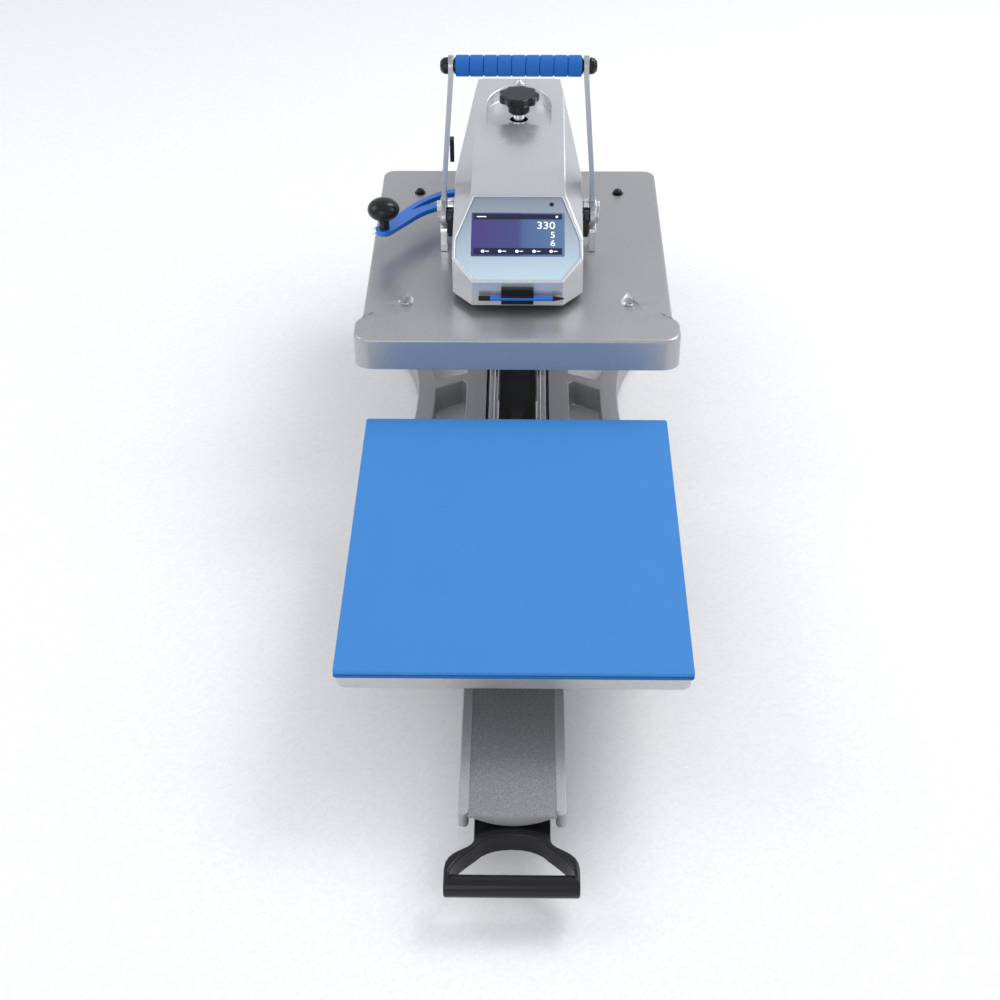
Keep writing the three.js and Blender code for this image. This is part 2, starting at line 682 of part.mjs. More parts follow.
function swingArm() {
  const beam = across(
    outline([
      [-105, ARM_BOTTOM],
      [COLUMN_Y, ARM_BOTTOM],
      [COLUMN_Y, HUB_TOP],
      [-50, HUB_TOP],
      [-105, ARM_BOTTOM + 25],
    ]),
    -ARM_HALF,
    ARM_HALF,
  );
  const boss = pin(PIVOT_Y, PIVOT_Z, SHAFT_RADIUS + 12, -ARM_HALF, ARM_HALF, 36);
  const hub = post(0, COLUMN_Y, HUB_RADIUS, HUB_BOTTOM, HUB_TOP, 48);
  const hubBore = post(0, COLUMN_Y, COLUMN_RADIUS + BUSH_WALL + 2 * GAP, HUB_BOTTOM - 1, HUB_TOP + 1, 48);
  const [rx, ry] = REAR_ROD;
  const rodHole = (x, y) => post(x, y, ROD_RADIUS + RUNNING, ARM_BOTTOM - 1, HUB_TOP + 1, 24);
  const springHole = (x) => post(x, ry, SPRING_RADIUS + WIRE_RADIUS + 0.6, SPRING_SEAT, HUB_TOP + 1, 32);
  const nutRoom = box(
    -NUT_ROOM, NUT_ROOM, KNOB_Y - NUT_ROOM, KNOB_Y + NUT_ROOM, ARM_BOTTOM - 1, NUT_CAVITY_TOP,
  );
  return cut(
    join(beam, boss, hub),
    hubBore,
    pin(PIVOT_Y, PIVOT_Z, SHAFT_RADIUS + RUNNING, -ARM_HALF - 1, ARM_HALF + 1, 36),
    rodHole(0, FRONT_ROD_Y), rodHole(rx, ry), rodHole(-rx, ry),
    springHole(rx), springHole(-rx),
    nutRoom,
    post(0, KNOB_Y, SPINDLE_RADIUS + RUNNING, NUT_CAVITY_TOP - 1, HUB_TOP + 1, 24),
  );
}
place("swing_arm", swingArm(), castGrey);
const bushInner = COLUMN_RADIUS + GAP;
const bushOuter = COLUMN_RADIUS + BUSH_WALL + GAP;
const swingBush = (z0) => ring(0, COLUMN_Y, bushInner, bushOuter, z0, z0 + BUSH_LENGTH, 48);
place("swing_bush_lower", swingBush(HUB_BOTTOM), bronze);
place("swing_bush_upper", swingBush(HUB_TOP - BUSH_LENGTH), bronze);

// ---- Head cover: pod, sloped roof, horseshoe recess ----
const PANEL_THICKNESS = 8;
const BEZEL_DEPTH = 3.6;
const NOSE_HALF = 62;
const ABOVE_HEAD = SHELF_Z + 40; // clear of the crest

// A shape drawn on the sloped panel, from depth n0 to n1 along the panel's normal.
function onPanel(shape, n0, n1) {
  const made = new THREE.ExtrudeGeometry(shape, { depth: n1 - n0, bevelEnabled: false, curveSegments: 6 });
  made.translate(0, 0, n0).rotateX((PANEL_TILT * Math.PI) / 180);
  return solid(made.translate(0, HEAD_FRONT_Y, PANEL_LOW_Z));
}

// The cover's outer form, or the room inside it when the walls are taken off.
function headForm(wall, under) {
  const half = [
    [NOSE_HALF - wall, HEAD_FRONT_Y + wall],
    [HEAD_HALF - wall, HEAD_FRONT_Y + 36 + wall / 3],
    [HEAD_HALF - wall, 20 - wall / 6],
    [HEAD_TAIL_HALF - wall, 240 - wall / 6],
    [HEAD_TAIL_HALF - wall, 350 - wall / 3],
    [ARM_HALF - wall, HEAD_REAR_Y - wall],
  ];
  const plan = slab(
    outline([...half.map(([x, y]) => [-x, y]), ...[...half].reverse()].reverse()),
    HUB_BOTTOM, ABOVE_HEAD,
  );
  const low = wall ? -20 : 0; // the room inside is open below
  const side = across(
    outline([
      [HEAD_FRONT_Y + wall, HEAD_BOTTOM + low],
      [268 + wall, HEAD_BOTTOM + low],
      [268 + wall, TAIL_BOTTOM + low],
      [HEAD_REAR_Y - wall, TAIL_BOTTOM + low],
      [HEAD_REAR_Y - wall, TAIL_TOP - 20 - wall / 2],
      [350 - wall / 2, TAIL_TOP - 2 - wall],
      [230 - wall, TAIL_TOP + 2 - wall],
      [CREST_Y + 6 - wall, roofAt(CREST_Y) - 2 - wall],
      [CREST_Y - wall, roofAt(CREST_Y) - wall * 1.2],
      [PANEL_TOP_Y + 2 * (under / PANEL_THICKNESS), PANEL_TOP_Z - under],
      [HEAD_FRONT_Y + wall, PANEL_LOW_Z - under + wall * tan(PANEL_TILT)],
    ]),
    -HEAD_HALF, HEAD_HALF,
  );
  const top = roofAt(0);
  const section = outline([
    [-HEAD_HALF, 0],
    [HEAD_HALF, 0],
    [HEAD_HALF, top - CHAMFER_DROP - wall * 1.25],
    [HEAD_FLAT_HALF, top - wall * 1.25],
    [-HEAD_FLAT_HALF, top - wall * 1.25],
    [-HEAD_HALF, top - CHAMFER_DROP - wall * 1.25],
  ]);
  const back = HEAD_REAR_Y + 40;
  const lean = new THREE.ExtrudeGeometry(section, { depth: back - HEAD_FRONT_Y + 20, bevelEnabled: false });
  const slope = tan(ROOF_TILT);
  lean.applyMatrix4(
    new THREE.Matrix4().set(1, 0, 0, 0, 0, 0, -1, back, 0, 1, -slope, back * slope, 0, 0, 0, 1),
  );
  return common(plan, side, solid(lean));
}

function recessPlan(grow) {
  const half = RECESS_HALF + grow;
  const shape = new THREE.Shape();
  shape.moveTo(-half, RECESS_FRONT_Y - grow);
  shape.lineTo(half, RECESS_FRONT_Y - grow);
  shape.lineTo(half, 200 - RECESS_HALF);
  shape.absarc(0, 200 - RECESS_HALF, half, 0, Math.PI);
  shape.lineTo(-half, RECESS_FRONT_Y - grow);
  return shape;
}

function panelOutline(inset) {
  const half = [
    [NOSE_HALF - inset * 0.6, inset],
    [HEAD_HALF - inset, 39.7 + inset * 0.4],
    [HEAD_HALF - inset, 71.7 - inset * 0.2],
    [HEAD_FLAT_HALF - 1 - inset * 0.8, PANEL_LENGTH - inset],
  ];
  return outline([...half, ...half.map(([x, s]) => [-x, s]).reverse()]);
}

function screenOutline(grow) {
  return roundedRect(
    -SCREEN_WIDTH / 2 - grow, SCREEN_WIDTH / 2 + grow,
    SCREEN_MIDDLE - SCREEN_HEIGHT / 2 - grow, SCREEN_MIDDLE + SCREEN_HEIGHT / 2 + grow, 2,
  );
}

const SHAFT_CLEARANCE = SHAFT_RADIUS + 2;
const SLOT_Y = [52, 128]; // the swing handle's way out of the cover
const SWING_BAR_Z = ARM_BOTTOM + 6;
const SWING_BAR_THICKNESS = 8;

function headCover() {
  const room = cut(
    headForm(HEAD_WALL, PANEL_THICKNESS),
    slab(recessPlan(HEAD_WALL), SHELF_Z - HEAD_WALL, ABOVE_HEAD),
  );
  const wide = HEAD_HALF + 1;
  return cut(
    headForm(0, 0),
    room,
    slab(recessPlan(0), SHELF_Z, ABOVE_HEAD, 10),
    onPanel(panelOutline(FACE_INSET), -BEZEL_DEPTH, 5),
    onPanel(screenOutline(GAP), -30, 0),
    post(0, KNOB_Y, 13, SHELF_Z - 10, SHELF_Z + 1, 32),
    pin(PIVOT_Y, PIVOT_Z, SHAFT_CLEARANCE, -wide, wide, 32),
    box(-wide, wide, PIVOT_Y - SHAFT_CLEARANCE, PIVOT_Y + SHAFT_CLEARANCE, HEAD_BOTTOM - 1, PIVOT_Z),
    box(-wide, -60, ...SLOT_Y, HEAD_BOTTOM - 1, SWING_BAR_Z + SWING_BAR_THICKNESS + 3),
  );
}
place("head_cover", headCover(), silverPaint);
const SCREW_Y = CREST_Y - 8.5;
place(
  "cover_screw",
  solid(
    new THREE.LatheGeometry(
      [[0, GAP], [7, GAP], [7, 1.8], [4.8, 1.8], [4.8, 3], [3.4, 4.6], [0, 5]]
        .map(([r, z]) => new THREE.Vector2(r, z)),
      24,
    ).rotateX(((90 + ROOF_TILT) * Math.PI) / 180).translate(0, SCREW_Y, roofAt(SCREW_Y)),
  ),
  chrome,
);

// ---- Control pod ----
const FACE_TOP = 1.3 - BEZEL_DEPTH;
place(
  "face_panel",
  cut(
    onPanel(panelOutline(FACE_INSET + 0.4), GAP - BEZEL_DEPTH, FACE_TOP),
    onPanel(screenOutline(GAP), -10, 0),
  ),
  facePrint,
);
place("touch_screen", onPanel(screenOutline(0), FACE_TOP - 8, FACE_TOP + 0.4), glassBlue);

function controllerBoard() {
  const low = FACE_TOP - 8 - GAP;
  const strip = (x0, x1, s0, s1, depth) => {
    const [a, b] = [SCREEN_MIDDLE + s0, SCREEN_MIDDLE + s1];
    return onPanel(outline([[x0, a], [x1, a], [x1, b], [x0, b]]), low - depth, low);
  };
  return join(
    strip(-58, 58, -32, 32, 1.6),
    strip(-50, -34, -24, 18, 9),
    strip(-20, 2, -20, 2, 4.5),
    strip(14, 24, -18, 22, 7),
    strip(34, 52, 6, 24, 8),
  );
}
place("controller_board", controllerBoard(), boardGreen);

const HOLDER_Y = HEAD_FRONT_Y - 11;
const STYLUS_Y = HEAD_FRONT_Y - 7;
place(
  "stylus_holder",
  cut(
    box(-22, 22, HOLDER_Y, HEAD_FRONT_Y - GAP, STYLUS_Z - 7.7, STYLUS_Z + 14),
    pin(STYLUS_Y, STYLUS_Z, STYLUS_RADIUS + RUNNING, -23, 23, 24),
    box(-23, 23, HOLDER_Y - 1, STYLUS_Y, STYLUS_Z - 2.6, STYLUS_Z + 2.6),
    box(-23, 23, HOLDER_Y - 1, STYLUS_Y - 1, STYLUS_Z + 6.5, STYLUS_Z + 15),
  ),
  black,
);
const STYLUS_REST = 53; // how far its blunt end sits left of the middle
place(
  "stylus",
  solid(
    new THREE.LatheGeometry(
      [[0, 0], [2.6, 0], [STYLUS_RADIUS, 1.5], [STYLUS_RADIUS, STYLUS_LENGTH - 14],
        [1.2, STYLUS_LENGTH - 1.5], [0, STYLUS_LENGTH]].map(([r, x]) => new THREE.Vector2(r, x)),
      20,
    ).rotateZ(-Math.PI / 2).translate(-STYLUS_REST, STYLUS_Y, STYLUS_Z),
  ),
  blueCoat,
);

// ---- Swing handle: slotted bar and ball knob on the left ----
const KNOB_POST = [-193, -10];

function swingBar() {
  const bar = new THREE.Shape();
  bar.moveTo(-ARM_HALF - GAP, 122);
  bar.lineTo(-92, 118);
  bar.bezierCurveTo(-124, 112, -152, 78, -171, 43);
  bar.lineTo(-204.5, -4);
  bar.absarc(...KNOB_POST, 13, 2.65, 5.5);
  bar.lineTo(-150, 28);
  bar.bezierCurveTo(-136, 48, -118, 62, -92, 63);
  bar.lineTo(-ARM_HALF - GAP, 63);
  const slot = new THREE.Shape();
  slot.moveTo(-54, 107);
  slot.lineTo(-94, 104);
  slot.bezierCurveTo(-120, 98, -142, 74, -158, 46);
  slot.bezierCurveTo(-140, 64, -120, 77, -94, 78);
  slot.lineTo(-54, 78);
  const top = SWING_BAR_Z + SWING_BAR_THICKNESS;
  return cut(slab(bar, SWING_BAR_Z, top, 10), slab(slot, SWING_BAR_Z - 1, top + 1, 10));
}
place("swing_handle_bar", swingBar(), blueCoat);
const BALL_FOOT = SWING_BAR_Z + SWING_BAR_THICKNESS + GAP;
place(
  "swing_handle_knob",
  turned(
    [[0, 0], [9, 0], [9, 4], [7, 7], [8.5, 11], [15, 15], [20.5, 20], [23, 27], [22.2, 33], [18.5, 39],
      [12, 43.4], [5, 45.4], [0, 45.8]].map(([r, z]) => [r, BALL_FOOT + z]),
    ...KNOB_POST, 32,
  ),
  black,
);

// ---- Return springs round the rear guide rods ----
class Helix extends THREE.Curve {
  constructor(radius, height, turns) {
    super();
    Object.assign(this, { radius, height, turns });
  }

  getPoint(t) {
    const angle = t * this.turns * 2 * Math.PI;
    return new THREE.Vector3(this.radius * Math.cos(angle), this.radius * Math.sin(angle), t * this.height);
  }
}

function coil(x, y, radius, wire, z0, z1, turns) {
  const section = new THREE.Shape(new THREE.EllipseCurve(0, 0, wire, wire, 0, 2 * Math.PI).getPoints(6));
  const path = new Helix(radius, z1 - z0 - 2.2 * wire, turns);
  const made = new THREE.ExtrudeGeometry(section, {
    steps: turns * 14,
    extrudePath: path,
    bevelEnabled: false,
  });
  return solid(made.translate(x, y, z0 + 1.1 * wire));
}
const spring = coil(...REAR_ROD, SPRING_RADIUS, WIRE_RADIUS, SPRING_SEAT + GAP, ROD_HEAD_Z - GAP, 7);
for (const [side, sign] of sides) place("lift_spring_" + side, spring, steel, sign);

// ---- Lift handle: shaft, arms, grip ----
// A solid turned about a line along X.
function turnedAcross(profile, y, z, turns) {
  const made = new THREE.LatheGeometry(profile.map(([r, x]) => new THREE.Vector2(r, x)), turns);
  return solid(made.rotateZ(-Math.PI / 2).translate(0, y, z));
}

const BOLT_FROM = ARM_OUTER + GAP;
const shaftEnd = join(
  pin(PIVOT_Y, PIVOT_Z, SHAFT_RADIUS + 1, PIN_FROM, ARM_INNER - GAP, 28),
  pin(PIVOT_Y, PIVOT_Z, 13, BOLT_FROM, BOLT_FROM + 1.6, 28),
  pin(PIVOT_Y, PIVOT_Z, 9, BOLT_FROM + 1, BOLT_FROM + 7, 6),
);
place(
  "pivot_shaft",
  join(pin(PIVOT_Y, PIVOT_Z, SHAFT_RADIUS, -BOLT_FROM - 2, BOLT_FROM + 2, 32), bothSides(shaftEnd)),
  chrome,
);

const LEAN_FROM = PIVOT_Z + 30; // the arms bend inward above this height
const CRANK_Y = PIVOT_Y - CRANK;
const LEVER_TOP = GRIP_Z + 14;
const TUBE_END = ARM_OUTER_TOP - ARM_THICKNESS - 0.9;

function leverArm() {
  const blade = across(
    barOutline(PIVOT_Y, PIVOT_Z, ARM_WIDTH / 2, GRIP_Y, GRIP_Z, ARM_WIDTH / 2 + 1), 60, 130, 12,
  );
  const front = along(
    outline([
      [ARM_INNER, PIVOT_Z - 30],
      [ARM_OUTER, PIVOT_Z - 30],
      [ARM_OUTER, LEAN_FROM],
      [ARM_OUTER_TOP, GRIP_Z - 10],
      [ARM_OUTER_TOP, LEVER_TOP + 5],
      [ARM_OUTER_TOP - ARM_THICKNESS, LEVER_TOP + 5],
      [ARM_OUTER_TOP - ARM_THICKNESS, GRIP_Z - 10],
      [ARM_INNER, LEAN_FROM],
    ]),
    -60, 60,
  );
  const root = across(barOutline(CRANK_Y, PIVOT_Z, 12, PIVOT_Y, PIVOT_Z, 16), ARM_INNER, ARM_OUTER, 12);
  return join(
    cut(
      join(common(blade, front), root),
      pin(PIVOT_Y, PIVOT_Z, SHAFT_RADIUS + GAP, ARM_INNER - 1, ARM_OUTER + 1, 32),
      pin(GRIP_Y, GRIP_Z, 8 + GAP, ARM_OUTER_TOP - 20, ARM_OUTER_TOP + 5, 24),
    ),
    pin(CRANK_Y, PIVOT_Z, PIN_RADIUS + 1, TOGGLE_OUT + GAP, ARM_INNER + 1, 16),
    pin(CRANK_Y, PIVOT_Z, 8, ARM_OUTER - 0.5, ARM_OUTER + 5, 6),
  );
}
const lever = leverArm();
for (const [side, sign] of sides) place("lever_arm_" + side, lever, steel, sign);

const capFrom = ARM_OUTER_TOP + GAP;
const gripEnd = turnedAcross(
  [[0, TUBE_END - 3], [8, TUBE_END - 3], [8, capFrom], [11.5, capFrom], [11.5, capFrom + 3],
    [10.4, capFrom + 7], [7, capFrom + 10.4], [0, capFrom + 11.6]],
  GRIP_Y, GRIP_Z, 24,
);
place(
  "grip_tube",
  join(pin(GRIP_Y, GRIP_Z, GRIP_TUBE_RADIUS, -TUBE_END, TUBE_END, 24), bothSides(gripEnd)),
  black,
);

const GRIP_HALF = TUBE_END - 2;
function foamProfile() {
  const profile = [];
  const pitch = (2 * GRIP_HALF) / GRIP_RIDGES;
  for (let i = 0; i < GRIP_RIDGES; i++) {
    const start = -GRIP_HALF + i * pitch;
    profile.push([GRIP_RADIUS - 1.6, start], [GRIP_RADIUS, start + 3], [GRIP_RADIUS, start + pitch - 3]);
  }
  profile.push([GRIP_RADIUS - 1.6, GRIP_HALF]);
  return profile;
}
place(
  "foam_grip",
  cut(
    turnedAcross([[0, -GRIP_HALF], ...foamProfile(), [0, GRIP_HALF]], GRIP_Y, GRIP_Z, 28),
    pin(GRIP_Y, GRIP_Z, GRIP_TUBE_RADIUS + GAP, -GRIP_HALF - 1, GRIP_HALF + 1, 28),
  ),
  blueFoam,
);
const MAGNET_Z = PIVOT_Z + 68;
const armInnerAt = (z) =>
  ARM_INNER - ((z - LEAN_FROM) * (ARM_OUTER - ARM_OUTER_TOP)) / (GRIP_Z - 10 - LEAN_FROM);
place(
  "handle_magnet",
  box(
    armInnerAt(MAGNET_Z + 33) - 6, armInnerAt(MAGNET_Z + 33) - GAP, 0, 14, MAGNET_Z, MAGNET_Z + 33,
  ),
  black,
  -1,
);

// Each toggle turns on its clevis pin; the crank pin's inner end is fixed in its upper eye.
const toggle = cut(
  join(
    across(barOutline(PIVOT_Y, CLEVIS_PIN_Z, 10, CRANK_Y, PIVOT_Z, 10), TOGGLE_IN, TOGGLE_OUT, 12),
    pin(CRANK_Y, PIVOT_Z, PIN_RADIUS + 1, PIN_FROM - 1, TOGGLE_IN + 1, 20),
  ),
  pin(PIVOT_Y, CLEVIS_PIN_Z, PIN_RADIUS + GAP, TOGGLE_IN - 1, TOGGLE_OUT + 1, 20),
);
for (const [side, sign] of sides) place("toggle_link_" + side, toggle, darkSteel, sign);

// ---- Pressure screw and its nut ----
const KNOB_FOOT = SHELF_Z + 10.7;
const lobed = new THREE.Shape(
  Array.from({ length: KNOB_LOBES * 8 }, (_, i) => {
    const angle = (i / (KNOB_LOBES * 8)) * 2 * Math.PI;
    const reach = KNOB_RADIUS - 1.8 + 1.8 * Math.cos(angle * KNOB_LOBES);
    return new THREE.Vector2(reach * Math.cos(angle), KNOB_Y + reach * Math.sin(angle));
  }),
);
place(
  "pressure_knob",
  cut(
    join(
      post(0, KNOB_Y, 16, KNOB_FOOT, KNOB_FOOT + 18, 32),
      slab(lobed, KNOB_FOOT + 17, KNOB_FOOT + 29),
    ),
    post(0, KNOB_Y, SPINDLE_RADIUS + GAP, KNOB_FOOT - 1, KNOB_FOOT + 20, 20),
  ),
  black,
);
place(
  "pressure_spindle",
  join(
    post(0, KNOB_Y, SPINDLE_RADIUS, ARM_BOTTOM + 12, KNOB_FOOT + 19, 20),
    post(0, KNOB_Y, 8.5, SHELF_Z - 6, KNOB_FOOT - GAP, 24),
  ),
  chrome,
);
const NUT_BOTTOM = ARM_BOTTOM + 23;
place(
  "pressure_nut",
  cut(
    box(
      -NUT_SIDE / 2, NUT_SIDE / 2, KNOB_Y - NUT_SIDE / 2, KNOB_Y + NUT_SIDE / 2,
      NUT_BOTTOM, NUT_BOTTOM + 14,
    ),
    post(0, KNOB_Y, SPINDLE_RADIUS + RUNNING, NUT_BOTTOM - 1, NUT_BOTTOM + 15, 24),
  ),
  bronze,
);

// ---- Electrical box behind the column ----
const BOX_HALF = 55;
const BOX_FRONT_Y = COLUMN_Y + COLUMN_RADIUS + 3;
const BOX_TOP = 190;
const BOX_WALL = 2.5;
const INLET = [-25, 107]; // X and Z of the inlet's middle
const ROCKER = [19, 107];
const RESET = [19, 140];
const roundAlongY = (x, z, radius, y0, y1, turns = 24) => {
  const made = new THREE.CylinderGeometry(radius, radius, y1 - y0, turns);
  return solid(made.translate(x, (y0 + y1) / 2, z));
};
const inletBox = (grow, y0, y1) => box(
  INLET[0] - 14 - grow, INLET[0] + 14 + grow, y0, y1, INLET[1] - 11 - grow, INLET[1] + 11 + grow,
);
place(
  "power_box",
  cut(
    box(-BOX_HALF, BOX_HALF, BOX_FRONT_Y, BASE_REAR_Y, HUB_SEAT + GAP, BOX_TOP),
    box(
      -BOX_HALF + BOX_WALL, BOX_HALF - BOX_WALL, BOX_FRONT_Y + BOX_WALL, BASE_REAR_Y - BOX_WALL,
      HUB_SEAT - 1, BOX_TOP - BOX_WALL,
    ),
    inletBox(GAP, BASE_REAR_Y - 5, BASE_REAR_Y + 1),
    box(ROCKER[0] - 7, ROCKER[0] + 7, BASE_REAR_Y - 5, BASE_REAR_Y + 1, ROCKER[1] - 12, ROCKER[1] + 12),
    roundAlongY(...RESET, 5 + RUNNING, BASE_REAR_Y - 5, BASE_REAR_Y + 1),
  ),
  black,
);
const pinAt = (x, z) => box(x - 1, x + 1, BASE_REAR_Y - 19, BASE_REAR_Y - 3, z - 2.5, z + 2.5);
place(
  "inlet_socket",
  join(
    cut(
      join(
        inletBox(0, BASE_REAR_Y - 20, BASE_REAR_Y + 0.5),
        inletBox(3, BASE_REAR_Y + GAP, BASE_REAR_Y + 2),
      ),
      inletBox(-3, BASE_REAR_Y - 17, BASE_REAR_Y + 3),
    ),
    pinAt(INLET[0], INLET[1] + 3), pinAt(INLET[0] - 6, INLET[1] - 2), pinAt(INLET[0] + 6, INLET[1] - 2),
  ),
  black,
);
const ROCKER_Y = BASE_REAR_Y - 5;
place(
  "power_rocker",
  across(
    outline([
      [ROCKER_Y - 1, ROCKER[1] - 9],
      [ROCKER_Y + 8, ROCKER[1] - 9.4],
      [ROCKER_Y + 6.4, ROCKER[1]],
      [ROCKER_Y + 5.4, ROCKER[1] + 9.4],
      [ROCKER_Y - 1, ROCKER[1] + 9],
      [ROCKER_Y - 3, ROCKER[1]],
    ]),
    ROCKER[0] - 6.4, ROCKER[0] + 6.4,
  ),
  black,
);
place(
  "reset_button",
  join(
    roundAlongY(...RESET, 5, BASE_REAR_Y - 8, BASE_REAR_Y + 3.5),
    roundAlongY(...RESET, 6.5, BASE_REAR_Y - 8, BASE_REAR_Y - 5),
  ),
  black,
);

// ---- The part's frame: on the table, under the middle of the whole press ----
const extent = new THREE.Box3().setFromObject(press);
press.position.set(
  -(extent.min.x + extent.max.x) / 2,
  -(extent.min.y + extent.max.y) / 2,
  -extent.min.z,
);

export default press;
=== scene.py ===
"""Finished looks of a swing-away heat press with a pull-out lower platen.

They are built round the press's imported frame, and every piece takes its place from the frame's
nodes, in metres: +X is the operator's right, +Y runs from the operator to the column, +Z is up.
"""

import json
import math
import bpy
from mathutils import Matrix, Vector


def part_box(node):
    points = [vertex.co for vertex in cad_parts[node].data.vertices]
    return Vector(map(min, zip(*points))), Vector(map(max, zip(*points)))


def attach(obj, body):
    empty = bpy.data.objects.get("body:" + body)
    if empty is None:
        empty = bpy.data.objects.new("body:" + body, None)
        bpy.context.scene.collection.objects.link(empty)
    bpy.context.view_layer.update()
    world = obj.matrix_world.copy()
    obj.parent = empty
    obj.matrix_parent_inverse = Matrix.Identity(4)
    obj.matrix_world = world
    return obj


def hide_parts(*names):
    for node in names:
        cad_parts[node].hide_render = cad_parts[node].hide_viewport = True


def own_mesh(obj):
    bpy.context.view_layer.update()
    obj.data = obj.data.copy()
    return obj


bl_info = {
    "name": "Heat Press Looks",
    "version": (1, 0, 0),
    "blender": (4, 5, 0),
    "location": "3D View > Sidebar > Press",
    "description": "Finished pieces and materials for a swing-away heat press",
    "category": "Add Mesh",
}

import bmesh
import bpy
from mathutils import Matrix, Vector
from mathutils.bvhtree import BVHTree

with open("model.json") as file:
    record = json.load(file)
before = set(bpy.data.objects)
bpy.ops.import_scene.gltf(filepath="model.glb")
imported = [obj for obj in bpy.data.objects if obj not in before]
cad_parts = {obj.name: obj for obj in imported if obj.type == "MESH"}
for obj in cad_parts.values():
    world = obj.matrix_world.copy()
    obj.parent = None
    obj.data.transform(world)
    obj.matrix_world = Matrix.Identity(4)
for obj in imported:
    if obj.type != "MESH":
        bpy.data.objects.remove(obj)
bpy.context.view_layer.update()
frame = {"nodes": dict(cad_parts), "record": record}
NODES = frame["nodes"]


# ---- Sizes and colours that a user may change ----
def colour(name, about, rgb):
    """A colour that the panel shows."""
    return bpy.props.FloatVectorProperty(
        name=name, description=about, subtype="COLOR", size=3, min=0, max=1, default=rgb
    )


def length(name, about, metres):
    """A length that the panel shows."""
    return bpy.props.FloatProperty(
        name=name, description=about, subtype="DISTANCE", unit="LENGTH", min=0, default=metres
    )


class PressColours(bpy.types.PropertyGroup):
    """Colours of the paints, coats and mouldings."""

    silver: colour("Silver lacquer", "Head cover and its bezel", (0.66, 0.672, 0.69))
    platen_silver: colour(
        "Platen silver", "Fine metallic paint on the upper platen", (0.43, 0.432, 0.438)
    )
    cast_grey: colour(
        "Casting grey", "Satin grey paint on the base and drawer", (0.42, 0.422, 0.43)
    )
    pad_blue: colour("Pad blue", "Silicone skin of the lower platen's pad", (0.04, 0.235, 0.62))
    sponge_blue: colour("Sponge blue", "Silicone sponge under the skin", (0.016, 0.14, 0.45))
    foam_blue: colour("Foam blue", "Grip foam", (0.0, 0.125, 0.48))
    coat_blue: colour(
        "Coat blue", "Gloss powder coat on the swing handle and lever arms", (0.003, 0.15, 0.62)
    )
    black: colour("Black", "Mouldings and the drawer handle's coat", (0.007, 0.007, 0.008))
    paper: colour("Floor", "Studio floor", (0.96, 0.96, 0.96))


class PressSizes(bpy.types.PropertyGroup):
    """Roundings and counts that the finished meshes add to the frame."""

    edge: length("Edge rounding", "Small rounding on machined and moulded edges", 0.0006)
    cast_edge: length("Casting rounding", "Rounding on the castings' edges", 0.0018)
    lip_edge: length("Lip rounding", "Rounding on the upper platen's outer edges", 0.0045)
    grip_rings: bpy.props.IntProperty(
        name="Grip rings", description="Ridges along the foam grip", min=1, default=9
    )
    grip_groove: length("Grip groove", "Depth of the grooves between the grip's ridges", 0.0022)
    spring_turns: bpy.props.FloatProperty(
        name="Spring turns", description="Turns of each lift spring", min=1, default=8
    )
    spring_wire: length("Spring wire", "Radius of the lift springs' wire", 0.0014)


def colours():
    return bpy.context.scene.press_colours


def sizes():
    return bpy.context.scene.press_sizes


# ---- Shader groups ----
def add(tree, kind, **settings):
    made = tree.nodes.new(kind)
    for name, value in settings.items():
        setattr(made, name, value)
    return made


def wire(tree, *routes):
    """Joins sockets. Each route is a node, its output, the next node and its input."""
    for source, output, target, entry in routes:
        tree.links.new(source.outputs[output], target.inputs[entry])


def group_tree(name, inputs, outputs):
    """A shader group with its named sockets, and its input and output nodes."""
    tree = bpy.data.node_groups.new(name, "ShaderNodeTree")
    for label, kind, default in inputs:
        socket = tree.interface.new_socket(label, in_out="INPUT", socket_type=kind)
        if default is not None:
            socket.default_value = default
    for label, kind in outputs:
        tree.interface.new_socket(label, in_out="OUTPUT", socket_type=kind)
    return tree, add(tree, "NodeGroupInput"), add(tree, "NodeGroupOutput")


def grain_group():
    """Fine bumps of sand-cast metal, paint flake or foam."""
    tree, start, end = group_tree(
        "Grain",
        [
            ("Vector", "NodeSocketVector", None),
            ("Scale", "NodeSocketFloat", 900.0),
            ("Height", "NodeSocketFloat", 0.0002),
            ("Strength", "NodeSocketFloat", 0.4),
        ],
        [("Normal", "NodeSocketVector"), ("Mask", "NodeSocketFloat")],
    )
    noise = add(tree, "ShaderNodeTexNoise")
    noise.inputs["Detail"].default_value = 3.0
    bump = add(tree, "ShaderNodeBump")
    wire(
        tree,
        (start, "Vector", noise, "Vector"),
        (start, "Scale", noise, "Scale"),
        (noise, "Fac", bump, "Height"),
        (start, "Height", bump, "Distance"),
        (start, "Strength", bump, "Strength"),
        (bump, "Normal", end, "Normal"),
        (noise, "Fac", end, "Mask"),
    )
    return tree


def brushed_group():
    """Long fine scratches along one direction."""
    tree, start, end = group_tree(
        "Brushed lines",
        [
            ("Vector", "NodeSocketVector", None),
            ("Stretch", "NodeSocketVector", (1.0, 40.0, 40.0)),
            ("Scale", "NodeSocketFloat", 60.0),
            ("Height", "NodeSocketFloat", 0.00008),
        ],
        [("Normal", "NodeSocketVector"), ("Mask", "NodeSocketFloat")],
    )
    mapping = add(tree, "ShaderNodeMapping")
    noise = add(tree, "ShaderNodeTexNoise")
    noise.inputs["Detail"].default_value = 4.0
    bump = add(tree, "ShaderNodeBump")
    bump.inputs["Strength"].default_value = 0.5
    wire(
        tree,
        (start, "Vector", mapping, "Vector"),
        (start, "Stretch", mapping, "Scale"),
        (mapping, "Vector", noise, "Vector"),
        (start, "Scale", noise, "Scale"),
        (noise, "Fac", bump, "Height"),
        (start, "Height", bump, "Distance"),
        (bump, "Normal", end, "Normal"),
        (noise, "Fac", end, "Mask"),
    )
    return tree


